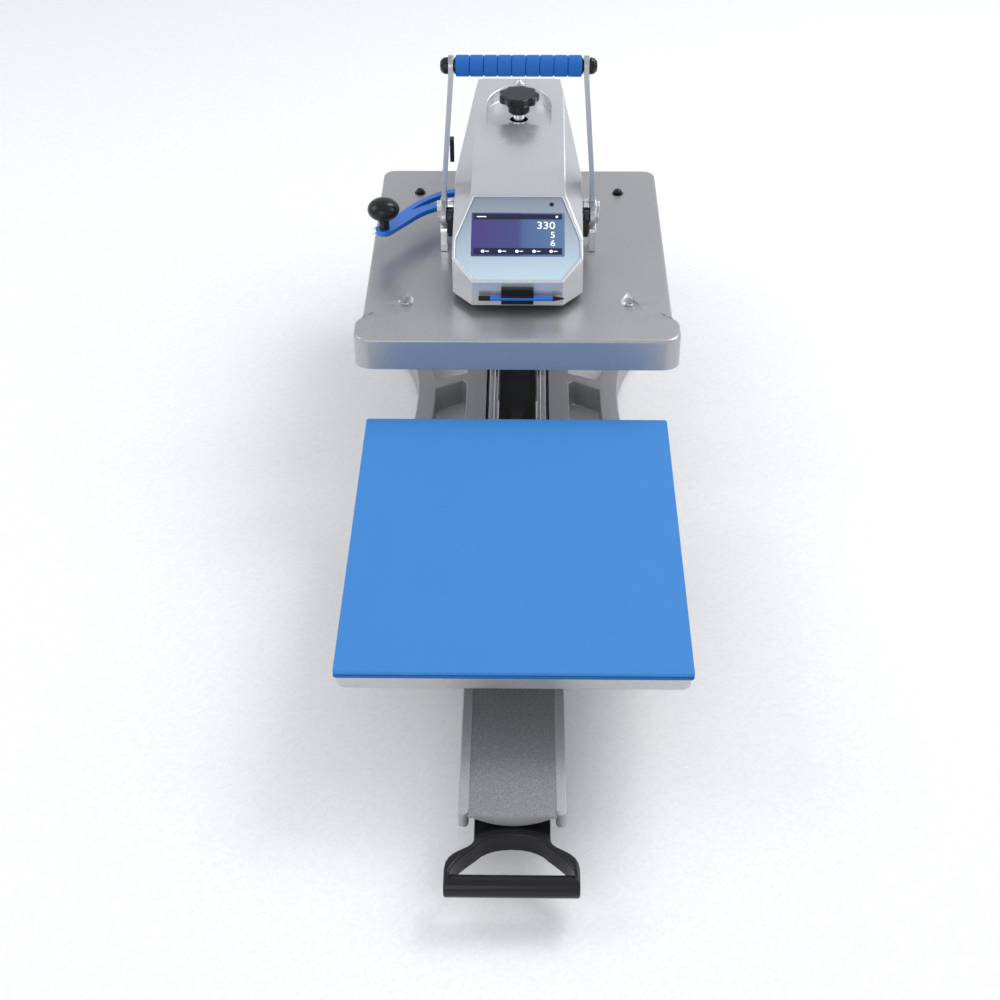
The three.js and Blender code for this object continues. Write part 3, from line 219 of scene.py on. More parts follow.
def patches_group():
    """A value that drifts slowly over the surface, for tint and gloss."""
    tree, start, end = group_tree(
        "Patches",
        [
            ("Vector", "NodeSocketVector", None),
            ("Scale", "NodeSocketFloat", 14.0),
            ("Low", "NodeSocketFloat", 0.3),
            ("High", "NodeSocketFloat", 0.4),
        ],
        [("Value", "NodeSocketFloat")],
    )
    noise = add(tree, "ShaderNodeTexNoise")
    noise.inputs["Detail"].default_value = 5.0
    spread = add(tree, "ShaderNodeMapRange")
    spread.inputs["From Min"].default_value = 0.3
    spread.inputs["From Max"].default_value = 0.7
    wire(
        tree,
        (start, "Vector", noise, "Vector"),
        (start, "Scale", noise, "Scale"),
        (noise, "Fac", spread, "Value"),
        (start, "Low", spread, "To Min"),
        (start, "High", spread, "To Max"),
        (spread, "Result", end, "Value"),
    )
    return tree


def flake_group():
    """Sparkle of metallic paint: small cells, each a little lighter or darker."""
    tree, start, end = group_tree(
        "Paint flake",
        [
            ("Vector", "NodeSocketVector", None),
            ("Scale", "NodeSocketFloat", 1400.0),
            ("Colour", "NodeSocketColor", (0.5, 0.5, 0.5, 1.0)),
            ("Contrast", "NodeSocketFloat", 0.2),
        ],
        [("Colour", "NodeSocketColor")],
    )
    cells = add(tree, "ShaderNodeTexVoronoi")
    shift = add(tree, "ShaderNodeMapRange")
    shift.inputs["To Min"].default_value = -1.0
    shift.inputs["To Max"].default_value = 1.0
    amount = add(tree, "ShaderNodeMath", operation="MULTIPLY_ADD")
    amount.inputs[2].default_value = 1.0
    mixed = add(tree, "ShaderNodeVectorMath", operation="SCALE")
    wire(
        tree,
        (start, "Vector", cells, "Vector"),
        (start, "Scale", cells, "Scale"),
        (cells, "Color", shift, "Value"),
        (shift, "Result", amount, 0),
        (start, "Contrast", amount, 1),
        (start, "Colour", mixed, 0),
        (amount, "Value", mixed, "Scale"),
        (mixed, "Vector", end, "Colour"),
    )
    return tree


GROUP_MAKERS = {
    "Grain": grain_group,
    "Brushed lines": brushed_group,
    "Patches": patches_group,
    "Paint flake": flake_group,
}


def object_coordinates(tree):
    """The material's one texture coordinate node."""
    name = "Coordinates"
    return tree.nodes.get(name) or add(tree, "ShaderNodeTexCoord", name=name)


def place_group(tree, name, **values):
    """Puts a shared group into a material, fed by Object coordinates."""
    made = add(tree, "ShaderNodeGroup")
    made.node_tree = bpy.data.node_groups.get(name) or GROUP_MAKERS[name]()
    for label, value in values.items():
        made.inputs[label].default_value = value
    tree.links.new(object_coordinates(tree).outputs["Object"], made.inputs["Vector"])
    return made


# ---- Materials ----
COAT_ROUGHNESS = 0.06
PLAIN_CONTRAST = 0.04  # slight unevenness of a colour that has no flake
PLAIN_SCALE = 260.0


def surface(
    name, rgb, metallic, gloss, grain=None, brushed=None, flake=0.0, patch=14.0, coat=0.0, shine=0.5
):
    """A material of one finish.

    gloss is its lowest and highest roughness, grain is scale, height and strength, brushed is
    stretch, scale and height, and flake is the sparkle's contrast. patch is how fine the drift in
    gloss is, coat is a clear coat's weight, and shine is the reflection of what isn't metal.
    """
    if name in bpy.data.materials:
        return bpy.data.materials[name]
    material = bpy.data.materials.new(name)
    material.use_nodes = True
    material.diffuse_color = (*rgb, 1.0)
    tree = material.node_tree
    shader = tree.nodes["Principled BSDF"]
    shader.inputs["Metallic"].default_value = metallic
    shader.inputs["Specular IOR Level"].default_value = shine
    if coat:
        shader.inputs["Coat Weight"].default_value = coat
        shader.inputs["Coat Roughness"].default_value = COAT_ROUGHNESS
    tint = place_group(tree, "Paint flake", Colour=(*rgb, 1.0), Contrast=flake or PLAIN_CONTRAST)
    if not flake:
        tint.inputs["Scale"].default_value = PLAIN_SCALE
    tree.links.new(tint.outputs["Colour"], shader.inputs["Base Color"])
    drift = place_group(tree, "Patches", Scale=patch, Low=gloss[0], High=gloss[1])
    tree.links.new(drift.outputs["Value"], shader.inputs["Roughness"])
    if grain:
        scale, height, strength = grain
        bumps = place_group(tree, "Grain", Scale=scale, Height=height, Strength=strength)
        tree.links.new(bumps.outputs["Normal"], shader.inputs["Normal"])
    if brushed:
        stretch, scale, height = brushed
        lines = place_group(tree, "Brushed lines", Stretch=stretch, Scale=scale, Height=height)
        tree.links.new(lines.outputs["Normal"], shader.inputs["Normal"])
    return material


def silver_lacquer():
    rgb = colours().silver
    return surface(
        "Silver lacquer", rgb, 0.65, (0.26, 0.32), grain=(1600, 0.00004, 0.25), flake=0.1, coat=0.25
    )


def platen_silver():
    rgb = colours().platen_silver
    return surface(
        "Platen silver", rgb, 0.6, (0.3, 0.4), grain=(1100, 0.00008, 0.35), flake=0.16, coat=0.15
    )


def casting_grey():
    return surface(
        "Casting grey", colours().cast_grey, 0.45, (0.42, 0.54),
        grain=(900, 0.00015, 0.5), flake=0.22,
    )


def bright_chrome():
    return surface(
        "Bright chrome", (0.83, 0.84, 0.86), 1.0, (0.07, 0.13), grain=(300, 0.00001, 0.15)
    )


def ground_steel():
    return surface(
        "Ground steel", (0.5, 0.51, 0.52), 1.0, (0.24, 0.34), brushed=((30, 2, 30), 50, 0.00003)
    )


def turned_steel():
    return surface(
        "Turned steel", (0.55, 0.56, 0.57), 1.0, (0.2, 0.3), brushed=((2, 2, 60), 30, 0.00002)
    )


def blackened_steel():
    return surface(
        "Blackened steel", (0.05, 0.05, 0.053), 0.85, (0.3, 0.42), grain=(700, 0.00004, 0.3)
    )


def machined_aluminium():
    return surface(
        "Machined aluminium", (0.55, 0.55, 0.56), 0.95, (0.3, 0.44),
        brushed=((2, 30, 60), 20, 0.00005), patch=30.0,
    )


def pad_skin():
    return surface(
        "Pad skin", colours().pad_blue, 0.0, (0.68, 0.78), grain=(520, 0.00022, 0.45), flake=0.1
    )


def pad_sponge():
    return surface(
        "Pad sponge", colours().sponge_blue, 0.0, (0.8, 0.9), grain=(800, 0.0004, 0.7), flake=0.25
    )


def grip_foam():
    return surface(
        "Grip foam", colours().foam_blue, 0.0, (0.62, 0.75), grain=(1000, 0.0003, 0.6), flake=0.2
    )


def blue_coat():
    rgb = colours().coat_blue
    return surface("Blue powder coat", rgb, 0.0, (0.26, 0.34), grain=(420, 0.00008, 0.3), coat=0.4)


def gloss_black():
    return surface(
        "Gloss black", colours().black, 0.0, (0.18, 0.26),
        grain=(300, 0.00005, 0.2), coat=0.15, shine=0.3,
    )


def moulded_black():
    return surface(
        "Moulded black", colours().black, 0.0, (0.3, 0.4), grain=(1200, 0.00005, 0.3), shine=0.25
    )


def matt_black():
    return surface(
        "Matt black", (0.016, 0.016, 0.017), 0.0, (0.5, 0.62),
        grain=(1500, 0.00008, 0.4), shine=0.25,
    )


def foot_rubber():
    return surface("Foot rubber", (0.02, 0.02, 0.02), 0.0, (0.75, 0.88), grain=(900, 0.0002, 0.5))


def bearing_bronze():
    return surface(
        "Bearing bronze", (0.5, 0.31, 0.12), 1.0, (0.28, 0.4), brushed=((2, 2, 50), 30, 0.00003)
    )


def insulation_fibre():
    return surface(
        "Insulation fibre", (0.68, 0.62, 0.5), 0.0, (0.85, 0.95),
        grain=(500, 0.0006, 0.8), flake=0.2,
    )


def circuit_green():
    return surface(
        "Circuit green", (0.02, 0.14, 0.05), 0.0, (0.3, 0.5), grain=(240, 0.0001, 0.3), flake=0.3
    )


def gradient(tree, low, high, axis, stops):
    """Colour that runs through stops from low to high along one object axis."""
    coordinates = object_coordinates(tree)
    split = add(tree, "ShaderNodeSeparateXYZ")
    span = add(tree, "ShaderNodeMapRange")
    span.inputs["From Min"].default_value = low
    span.inputs["From Max"].default_value = high
    ramp = add(tree, "ShaderNodeValToRGB")
    for extra in stops[2:]:
        ramp.color_ramp.elements.new(extra[0])
    for element, (place, rgb) in zip(ramp.color_ramp.elements, sorted(stops)):
        element.position = place
        element.color = (*rgb, 1.0)
    wire(
        tree,
        (coordinates, "Object", split, "Vector"),
        (split, axis, span, "Value"),
        (span, "Result", ramp, "Fac"),
    )
    return ramp.outputs["Color"]


def face_print():
    """Printed film: grey at the top of the pod, paling to light blue at its foot."""
    made = surface(
        "Face print", (0.5, 0.6, 0.7), 0.3, (0.28, 0.34),
        grain=(1400, 0.00003, 0.2), coat=0.3,
    )
    low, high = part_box("face_panel")
    tree = made.node_tree
    stops = [(0.0, (0.6, 0.76, 0.85)), (0.35, (0.48, 0.6, 0.7)), (1.0, (0.3, 0.33, 0.4))]
    tint = gradient(tree, low.z, high.z, "Z", stops)
    tree.links.new(tint, tree.nodes["Principled BSDF"].inputs["Base Color"])
    return made


def glowing(material, strength, rgb):
    """Gives a finish an even light of its own."""
    shader = material.node_tree.nodes["Principled BSDF"]
    shader.inputs["Emission Color"].default_value = (*rgb, 1.0)
    shader.inputs["Emission Strength"].default_value = strength
    return material


def lit_display():
    """Glass over a lit display that runs from violet to steel blue."""
    finish = surface("Lit display", (0.02, 0.02, 0.03), 0.0, (0.08, 0.12), shine=0.25)
    made = glowing(finish, 0.85, (0.0, 0.0, 0.0))
    low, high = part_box("touch_screen")
    tree = made.node_tree
    stops = [
        (0.0, (0.07, 0.045, 0.24)),
        (0.5, (0.06, 0.075, 0.25)),
        (0.56, (0.085, 0.15, 0.36)),
        (1.0, (0.12, 0.23, 0.42)),
    ]
    glow = gradient(tree, low.x, high.x, "X", stops)
    tree.links.new(glow, tree.nodes["Principled BSDF"].inputs["Emission Color"])
    return made


def display_bar():
    finish = surface("Display bar", (0.008, 0.009, 0.02), 0.0, (0.1, 0.14), shine=0.2)
    return glowing(finish, 0.6, (0.02, 0.028, 0.07))


def display_white():
    finish = surface("Display white", (0.7, 0.75, 0.8), 0.0, (0.1, 0.15))
    return glowing(finish, 0.7, (0.85, 0.9, 1.0))


# Speckled hammertone for the drawer's deck. Its colour, darker than the casting grey, is painted
# shade of the lower platen above it.
def deck_paint():
    return surface(
        "Deck hammertone with painted shade", (0.27, 0.273, 0.28), 0.4, (0.36, 0.5),
        grain=(520, 0.0004, 0.7), flake=0.45,
    )


# ---- Meshes ----
JOIN = 0.00001  # points closer than this are one
FLAT = math.radians(0.4)
SHARP = math.radians(28)  # an edge turned more than this is rounded
CREASE = math.radians(50)  # an edge turned more than this stays crisp in the shading
SHARE = 0.42  # of a face's depth that a rounding may take
ACROSS = 0.5  # share of an edge's length that has to run sideways for it to give a face's depth
LEAST_ROUNDING = 0.00006
WIDE_ROUNDING = 0.001  # a rounding over this gets one more strip of faces
THIN = 0.0004  # a face less deep than this keeps its edges
WIDE_FACE_WEIGHT = 60  # how far wide faces keep their shading flat
BODY_OF = {
    node: body for body, nodes in frame["record"]["behaviour"]["bodies"].items() for node in nodes
}


def cad_copy(node):
    """A node's faces as one joined bmesh, with its flat areas made whole."""
    bm = bmesh.new()
    bm.from_mesh(NODES[node].data)
    bmesh.ops.remove_doubles(bm, verts=bm.verts, dist=JOIN)
    bmesh.ops.dissolve_limit(bm, angle_limit=FLAT, verts=bm.verts, edges=bm.edges)
    return bm


def ring_of(bm, radius, height, count):
    """A level ring of new points about Z."""
    angles = [2 * math.pi * i / count for i in range(count)]
    return [bm.verts.new((radius * math.cos(a), radius * math.sin(a), height)) for a in angles]


def lathe(profile, count):
    """A solid turned about Z from pairs of radius and height that start and end on the axis."""
    bm = bmesh.new()
    rings = []
    for radius, height in profile:
        if radius < JOIN:
            rings.append([bm.verts.new((0, 0, height))])
            continue
        rings.append(ring_of(bm, radius, height, count))
    for low, high in zip(rings, rings[1:]):
        for i in range(count):
            j = (i + 1) % count
            below = (low[i % len(low)], low[j % len(low)])
            above = (high[j % len(high)], high[i % len(high)])
            corners = list(dict.fromkeys((*below, *above)))
            if len(corners) > 2:
                bm.faces.new(corners)
    bmesh.ops.recalc_face_normals(bm, faces=bm.faces)
    return bm


def lathe_open(profile, count):
    """A ring-shaped solid turned about Z from a closed outline that stays off the axis."""
    bm = bmesh.new()
    rings = [ring_of(bm, radius, height, count) for radius, height in profile]
    for low, high in zip(rings, rings[1:] + rings[:1]):
        for i in range(count):
            j = (i + 1) % count
            bm.faces.new((low[i], low[j], high[j], high[i]))
    bmesh.ops.recalc_face_normals(bm, faces=bm.faces)
    return bm


def face_room(edge):
    """Least depth of the faces beside an edge, which its rounding has to share."""
    least = math.inf
    foot = edge.verts[0].co
    along = (edge.verts[1].co - foot).normalized()
    for face in edge.link_faces:
        steps = [vert.co - foot for vert in face.verts]
        least = min(least, max((step - along * step.dot(along)).length for step in steps))
    for loop in edge.link_loops:
        for near in (loop.link_loop_prev.edge, loop.link_loop_next.edge):
            step = near.verts[1].co - near.verts[0].co
            depth = (step - along * step.dot(along)).length
            if depth > ACROSS * step.length:
                least = min(least, depth)
    return least


def baked(obj):
    """Turns an object's modifiers into its own plain mesh."""
    bpy.context.view_layer.update()
    seen = obj.evaluated_get(bpy.context.evaluated_depsgraph_get())
    made = bpy.data.meshes.new_from_object(seen)
    obj.modifiers.clear()
    obj.data = made
    return obj


def round_edges(obj, bm, width, special=None):
    """Rounds every sharp edge by width, or by what special gives for it, where its faces allow."""
    weights = bm.edges.layers.float.new("bevel_weight_edge")
    fits = {}
    for edge in bm.edges:
        if len(edge.link_faces) != 2 or edge.calc_face_angle(0.0) < SHARP:
            continue
        wanted = (special(edge) if special else None) or width
        room = face_room(edge)
        fit = min(wanted, SHARE * room)
        if room > THIN and fit > LEAST_ROUNDING:
            fits[edge] = fit
    widest = max(fits.values(), default=0.0)
    for edge, fit in fits.items():
        edge[weights] = fit / widest
    bm.to_mesh(obj.data)
    if not widest:
        return
    rounding = obj.modifiers.new("Rounding", "BEVEL")
    rounding.limit_method = "WEIGHT"
    rounding.width = widest
    rounding.segments = 3 if widest > WIDE_ROUNDING else 2
    rounding.use_clamp_overlap = False
    baked(obj)


def smooth(obj):
    """Smooth shading that stays crisp at creases and flat on wide faces."""
    obj.data.shade_smooth()
    obj.data.set_sharp_from_angle(angle=CREASE)
    obj.modifiers.new("Small faces", "TRIANGULATE").min_vertices = 5
    even = obj.modifiers.new("Even normals", "WEIGHTED_NORMAL")
    even.keep_sharp = True
    even.weight = WIDE_FACE_WEIGHT
    return baked(obj)


def piece(name, bm, materials, like, stands_for=(), rounding=0.0, special=None, paint=None):
    """A finished piece that moves with the node it is like and replaces what it stands for."""
    if paint:
        bm.normal_update()
        for face in bm.faces:
            face.material_index = paint(face.normal, face.calc_center_median())
    obj = bpy.data.objects.new(name, bpy.data.meshes.new(name))
    bpy.context.scene.collection.objects.link(obj)
    for material in materials:
        obj.data.materials.append(material)
    if rounding or special:
        round_edges(obj, bm, rounding, special)
    else:
        bm.to_mesh(obj.data)
    bm.free()
    smooth(obj)
    obj.data.name = name
    if stands_for:
        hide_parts(*stands_for)
    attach(obj, BODY_OF[like])
    return obj


def dress(node, material, rounding, special=None, paint=None, extra=(), cuts=()):
    """A node's own shape with rounded edges and its finish.

    Cuts are planes, each a point and a direction across it, that divide the node's wide faces.
    """
    bm = cad_copy(node)
    for place, across in cuts:
        whole = [*bm.verts, *bm.edges, *bm.faces]
        bmesh.ops.bisect_plane(bm, geom=whole, plane_co=place, plane_no=across)
    return piece(node + "_finish", bm, [material, *extra], node, (node,), rounding, special, paint)


def keep(node, material):
    """A node that keeps its own mesh and gets its finish."""
    NODES[node].material_slots[0].material = material


def ball(centre, radius, squash_to=1.0, rings=16):
    """Profile of a ball about a height, from its foot to its top."""
    angles = [-math.pi / 2 + math.pi * i / rings for i in range(rings + 1)]
    return [(radius * math.cos(a), centre + radius * squash_to * math.sin(a)) for a in angles]


LOOK_FROM = 0.1  # clear height from which a surface is looked for


def surface_height(node, x, y, above):
    """Height of a node's upper surface under a point."""
    mesh = NODES[node].data
    points = [vert.co for vert in mesh.vertices]
    faces = BVHTree.FromPolygons(points, [list(face.vertices) for face in mesh.polygons])
    place = faces.ray_cast(Vector((x, y, above + LOOK_FROM)), Vector((0, 0, -1)))[0]
    if place is None:
        raise RuntimeError(node + " has no surface there")
    return place.z


# ---- Geometry node trees ----
def geometry_tree(name, inputs):
    """A geometry tree with a geometry in and out, its named inputs, and its end nodes."""
    tree = bpy.data.node_groups.new(name, "GeometryNodeTree")
    tree.interface.new_socket("Geometry", in_out="INPUT", socket_type="NodeSocketGeometry")
    tree.interface.new_socket("Geometry", in_out="OUTPUT", socket_type="NodeSocketGeometry")
    for label, kind, default in inputs:
        socket = tree.interface.new_socket(label, in_out="INPUT", socket_type=kind)
        if default is not None:
            socket.default_value = default
    tree.interface.new_socket("Material", in_out="INPUT", socket_type="NodeSocketMaterial")
    return tree, add(tree, "NodeGroupInput"), add(tree, "NodeGroupOutput")


def close_tree(tree, start, end, shape):
    """Ends a tree in real faces of one material."""
    real = add(tree, "GeometryNodeRealizeInstances")
    coat = add(tree, "GeometryNodeSetMaterial")
    tree.links.new(shape, real.inputs["Geometry"])
    wire(
        tree,
        (real, "Geometry", coat, "Geometry"),
        (start, "Material", coat, "Material"),
        (coat, "Geometry", end, "Geometry"),
    )
    return tree


def row_tree():
    """Copies of the incoming solid in a straight row."""
    tree, start, end = geometry_tree(
        "Row of copies",
        [("Count", "NodeSocketInt", 9), ("Step", "NodeSocketVector", (0.01, 0.0, 0.0))],
    )
    line = add(tree, "GeometryNodeMeshLine", mode="OFFSET")
    spread = add(tree, "GeometryNodeInstanceOnPoints")
    wire(
        tree,
        (start, "Count", line, "Count"),
        (start, "Step", line, "Offset"),
        (line, "Mesh", spread, "Points"),
        (start, "Geometry", spread, "Instance"),
    )
    return close_tree(tree, start, end, spread.outputs["Instances"])


def pair_tree():
    """The incoming fastener at one place and at its mirror place across the middle."""
    tree, start, end = geometry_tree(
        "Mirrored fasteners",
        [("Place", "NodeSocketVector", (0.1, 0.0, 0.0)), ("Turn", "NodeSocketFloat", 0.4)],
    )
    split = add(tree, "ShaderNodeSeparateXYZ")
    away = add(tree, "ShaderNodeMath", operation="MULTIPLY")
    away.inputs[1].default_value = -2.0
    offset = add(tree, "ShaderNodeCombineXYZ")
    line = add(tree, "GeometryNodeMeshLine", mode="OFFSET")
    line.inputs["Count"].default_value = 2
    number = add(tree, "GeometryNodeInputIndex")
    angle = add(tree, "ShaderNodeMath", operation="MULTIPLY")
    turned = add(tree, "ShaderNodeCombineXYZ")
    spread = add(tree, "GeometryNodeInstanceOnPoints")
    wire(
        tree,
        (start, "Place", split, "Vector"),
        (split, "X", away, 0),
        (away, "Value", offset, "X"),
        (start, "Place", line, "Start Location"),
        (offset, "Vector", line, "Offset"),
        (number, "Index", angle, 0),
        (start, "Turn", angle, 1),
        (angle, "Value", turned, "Z"),
        (line, "Mesh", spread, "Points"),
        (start, "Geometry", spread, "Instance"),
        (turned, "Vector", spread, "Rotation"),
    )
    return close_tree(tree, start, end, spread.outputs["Instances"])


def spring_tree():
    """A round wire wound into a coil that stands on the origin."""
    tree, start, end = geometry_tree(
        "Coil spring",
        [
            ("Turns", "NodeSocketFloat", 8.0),
            ("Radius", "NodeSocketFloat", 0.011),
            ("Height", "NodeSocketFloat", 0.08),
            ("Wire", "NodeSocketFloat", 0.0014),
        ],
    )
    spiral = add(tree, "GeometryNodeCurveSpiral")
    spiral.inputs["Resolution"].default_value = 24
    round_wire = add(tree, "GeometryNodeCurvePrimitiveCircle")
    round_wire.inputs["Resolution"].default_value = 10
    sweep = add(tree, "GeometryNodeCurveToMesh")
    sweep.inputs["Fill Caps"].default_value = True
    wire(
        tree,
        (start, "Turns", spiral, "Rotations"),
        (start, "Radius", spiral, "Start Radius"),
        (start, "Radius", spiral, "End Radius"),
        (start, "Height", spiral, "Height"),
        (start, "Wire", round_wire, "Radius"),
        (spiral, "Curve", sweep, "Curve"),
        (round_wire, "Curve", sweep, "Profile Curve"),
    )
    return close_tree(tree, start, end, sweep.outputs["Mesh"])


TREE_MAKERS = {
    "Row of copies": row_tree,
    "Mirrored fasteners": pair_tree,
    "Coil spring": spring_tree,
}


def grown(bm, tree_name, material, **values):
    """The bmesh that a geometry tree makes from a starting solid and its input values."""
    tree = bpy.data.node_groups.get(tree_name) or TREE_MAKERS[tree_name]()
    obj = bpy.data.objects.new(tree_name, bpy.data.meshes.new(tree_name))
    bpy.context.scene.collection.objects.link(obj)
    bm.to_mesh(obj.data)
    bm.free()
    step = obj.modifiers.new(tree_name, "NODES")
    step.node_group = tree
    values["Material"] = material
    for item in tree.interface.items_tree:
        if item.in_out == "INPUT" and item.name in values:
            step[item.identifier] = values[item.name]
    baked(obj)
    made = bmesh.new()
    made.from_mesh(obj.data)
    bmesh.ops.recalc_face_normals(made, faces=made.faces)
    bpy.data.objects.remove(obj)
    return made


# ---- Pieces ----
# Roundings of single pieces, from the finest to the widest.
FINE_EDGE = 0.0005
CLIP_EDGE = 0.0008
COLLAR_EDGE = 0.001
PLATE_EDGE = 0.0012
SPONGE_EDGE = 0.0014
BOX_EDGE = 0.0015
COVER_EDGE = 0.0016
SKIN_EDGE = 0.0022
LOOP_EDGE = 0.0024
KNOB_EDGE = 0.003


class Maker:
    """What every operator of this add-on shares."""

    bl_options = {"REGISTER", "UNDO"}


class PRESS_OT_base(Maker, bpy.types.Operator):
    """Base casting with its rounded windows, feet and channel."""

    bl_idname = "press.base"
    bl_label = "Base casting"

    def execute(self, context):
        size = sizes()
        dress("base_casting", casting_grey(), size.cast_edge)
        for number in range(1, 5):
            dress("rubber_foot_" + str(number), foot_rubber(), size.edge)
        keep("channel_liner", matt_black())
        return {"FINISHED"}


class PRESS_OT_slides(Maker, bpy.types.Operator):
    """Telescopic slides and the carriage plate between them."""

    bl_idname = "press.slides"
    bl_label = "Drawer slides"

    def execute(self, context):
        for side in ("left", "right"):
            for part in ("outer", "middle", "inner"):
                dress("slide_" + part + "_" + side, bright_chrome(), sizes().edge)
        dress("slide_carriage", matt_black(), sizes().edge)
        return {"FINISHED"}


class PRESS_OT_drawer(Maker, bpy.types.Operator):
    """Drawer beam with its speckled deck, whose darker tone is painted shade of the lower platen,
    and the pedestal under the lower platen.
    """

    bl_idname = "press.drawer"
    bl_label = "Drawer beam"

    def execute(self, context):
        size = sizes()
        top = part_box("drawer_beam")[1].z
        least_tilt, bead_drop = 0.8, 0.001

        # Upward faces below the beads take the darker deck finish: painted shade of the lower
        # platen over a speckled hammertone.
        def deck(normal, centre):
            return 1 if normal.z > least_tilt and centre.z < top - bead_drop else 0

        dress("drawer_beam", casting_grey(), size.cast_edge, paint=deck, extra=[deck_paint()])
        dress("platen_pedestal", casting_grey(), size.cast_edge)
        return {"FINISHED"}


class PRESS_OT_drawer_handle(Maker, bpy.types.Operator):
    """Black loop handle at the front of the drawer."""

    bl_idname = "press.drawer_handle"
    bl_label = "Drawer handle"

    def execute(self, context):
        dress("drawer_handle", gloss_black(), LOOP_EDGE)
        return {"FINISHED"}


SPONGE_SHARE = 0.45  # of the pad's thickness
PAD_GROOVE = 0.0005


class PRESS_OT_lower_platen(Maker, bpy.types.Operator):
    """Lower platen plate, and its pad of a skin over a sponge with a groove between."""

    bl_idname = "press.lower_platen"
    bl_label = "Lower platen and pad"

    def execute(self, context):
        dress("lower_platen", machined_aluminium(), PLATE_EDGE)
        low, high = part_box("silicone_pad")
        seam = low.z + SPONGE_SHARE * (high.z - low.z)
        for name, material, bottom, top, rounding, stands_for in (
            ("pad_skin", pad_skin(), seam + PAD_GROOVE, high.z, SKIN_EDGE, ("silicone_pad",)),
            ("pad_sponge", pad_sponge(), low.z, seam + PAD_GROOVE / 2, SPONGE_EDGE, ()),
        ):
            bm = cad_copy("silicone_pad")
            for vert in bm.verts:
                share = (vert.co.z - low.z) / (high.z - low.z)
                vert.co.z = bottom + share * (top - bottom)
            piece(name, bm, [material], "silicone_pad", stands_for, rounding)
        return {"FINISHED"}


LIP_DEPTH = 0.066
BEHIND_LIP = 0.0005
OUTER_MARGIN = 0.012  # an edge nearer to the cover's outline than this gets the lip's rounding
DIMPLE_FROM_SIDE = 0.066
DIMPLE_FROM_FRONT = 0.101
NUT_FROM_SIDE = 0.069
NUT_FROM_REAR = 0.0799


class PRESS_OT_upper_platen(Maker, bpy.types.Operator):
    """Upper platen cover, its insulation and the heater plate."""

    bl_idname = "press.upper_platen"
    bl_label = "Upper platen"

    def execute(self, context):
        size = sizes()
        low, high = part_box("platen_cover")

        def outer(edge):
            centre = (edge.verts[0].co + edge.verts[1].co) / 2
            near_x = min(centre.x - low.x, high.x - centre.x)
            near_y = min(centre.y - low.y, high.y - centre.y)
            at_side = min(near_x, near_y) < OUTER_MARGIN
            return size.lip_edge if at_side and centre.z > low.z + OUTER_MARGIN else None

        dimple = Vector((high.x - DIMPLE_FROM_SIDE, low.y + DIMPLE_FROM_FRONT, 0))
        lip_rear = Vector((0, low.y + LIP_DEPTH + BEHIND_LIP, 0))
        across, along = (1, 0, 0), (0, 1, 0)
        cuts = [(dimple, across), (-dimple, across), (dimple, along), (lip_rear, along)]
        dress("platen_cover", platen_silver(), 0.0, special=outer, cuts=cuts)
        dress("heater_platen", machined_aluminium(), size.edge)
        keep("insulation_sheet", insulation_fibre())
        return {"FINISHED"}


def acorn_nut():
    """A domed nut on a washer, standing on the origin."""
    washer, neck, dome_radius = 0.0085, 0.0062, 0.0064
    washer_top, neck_top, dome_foot, dome_centre = 0.001, 0.0012, 0.0014, 0.003
    profile = [(0, 0), (washer, 0), (washer, washer_top), (neck, neck_top)]
    dome = [(r, z) for r, z in ball(dome_centre, dome_radius, 0.8) if z > dome_foot]
    return lathe([*profile, *dome], 28)


def cap_screw():
    """A round screw head with a deep socket, standing on the origin."""
    head, rim, socket = 0.0058, 0.0052, 0.003
    shoulder, top, socket_floor = 0.0036, 0.0042, 0.002
    side = [(0, 0), (head, 0), (head, shoulder), (rim, top)]
    return lathe([*side, (socket, top), (socket, socket_floor), (0, socket_floor)], 24)


class PRESS_OT_cover_fasteners(Maker, bpy.types.Operator):
    """Acorn nuts at the rear of the upper platen and screws in its front dimples."""

    bl_idname = "press.cover_fasteners"
    bl_label = "Cover fasteners"

    def execute(self, context):
        low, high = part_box("platen_cover")
        rear, front = high.y - NUT_FROM_REAR, low.y + DIMPLE_FROM_FRONT
        sunk, turn = 0.0002, 0.5
        for name, solid, material, inset, along in (
            ("rear_nuts", acorn_nut(), gloss_black(), NUT_FROM_SIDE, rear),
            ("front_screws", cap_screw(), turned_steel(), DIMPLE_FROM_SIDE, front),
        ):
            foot = surface_height("platen_cover", high.x - inset, along, high.z)
            place = (high.x - inset, along, foot - sunk)
            bm = grown(solid, "Mirrored fasteners", material, Place=place, Turn=turn)
            piece(name, bm, [material], "platen_cover")
        return {"FINISHED"}


class PRESS_OT_linkage(Maker, bpy.types.Operator):
    """Clevis blocks, toggle links, pivot shaft and guide rods."""

    bl_idname = "press.linkage"
    bl_label = "Lift linkage"

    def execute(self, context):
        size = sizes()
        dress("pivot_shaft", bright_chrome(), size.edge)
        for side in ("left", "right"):
            dress("clevis_block_" + side, bright_chrome(), size.edge)
            dress("toggle_link_" + side, blackened_steel(), size.edge)
            dress("guide_rod_" + side, turned_steel(), size.edge)
        dress("guide_rod_front", turned_steel(), size.edge)
        return {"FINISHED"}


class PRESS_OT_lift_springs(Maker, bpy.types.Operator):
    """Two coil springs that hold the upper platen up."""

    bl_idname = "press.lift_springs"
    bl_label = "Lift springs"

    def execute(self, context):
        size = sizes()
        for side in ("left", "right"):
            node = "lift_spring_" + side
            low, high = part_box(node)
            centre = (low + high) / 2
            wire = size.spring_wire
            tall = high.z - low.z
            coil = grown(
                bmesh.new(), "Coil spring", turned_steel(), Turns=size.spring_turns,
                Radius=(high.y - low.y) / 2 - wire, Height=tall - 2 * wire, Wire=wire,
            )
            coil.transform(Matrix.Translation((centre.x, centre.y, low.z + wire)))
            spring = piece(node + "_finish", coil, [turned_steel()], node, (node,))
            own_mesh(spring)
        return {"FINISHED"}


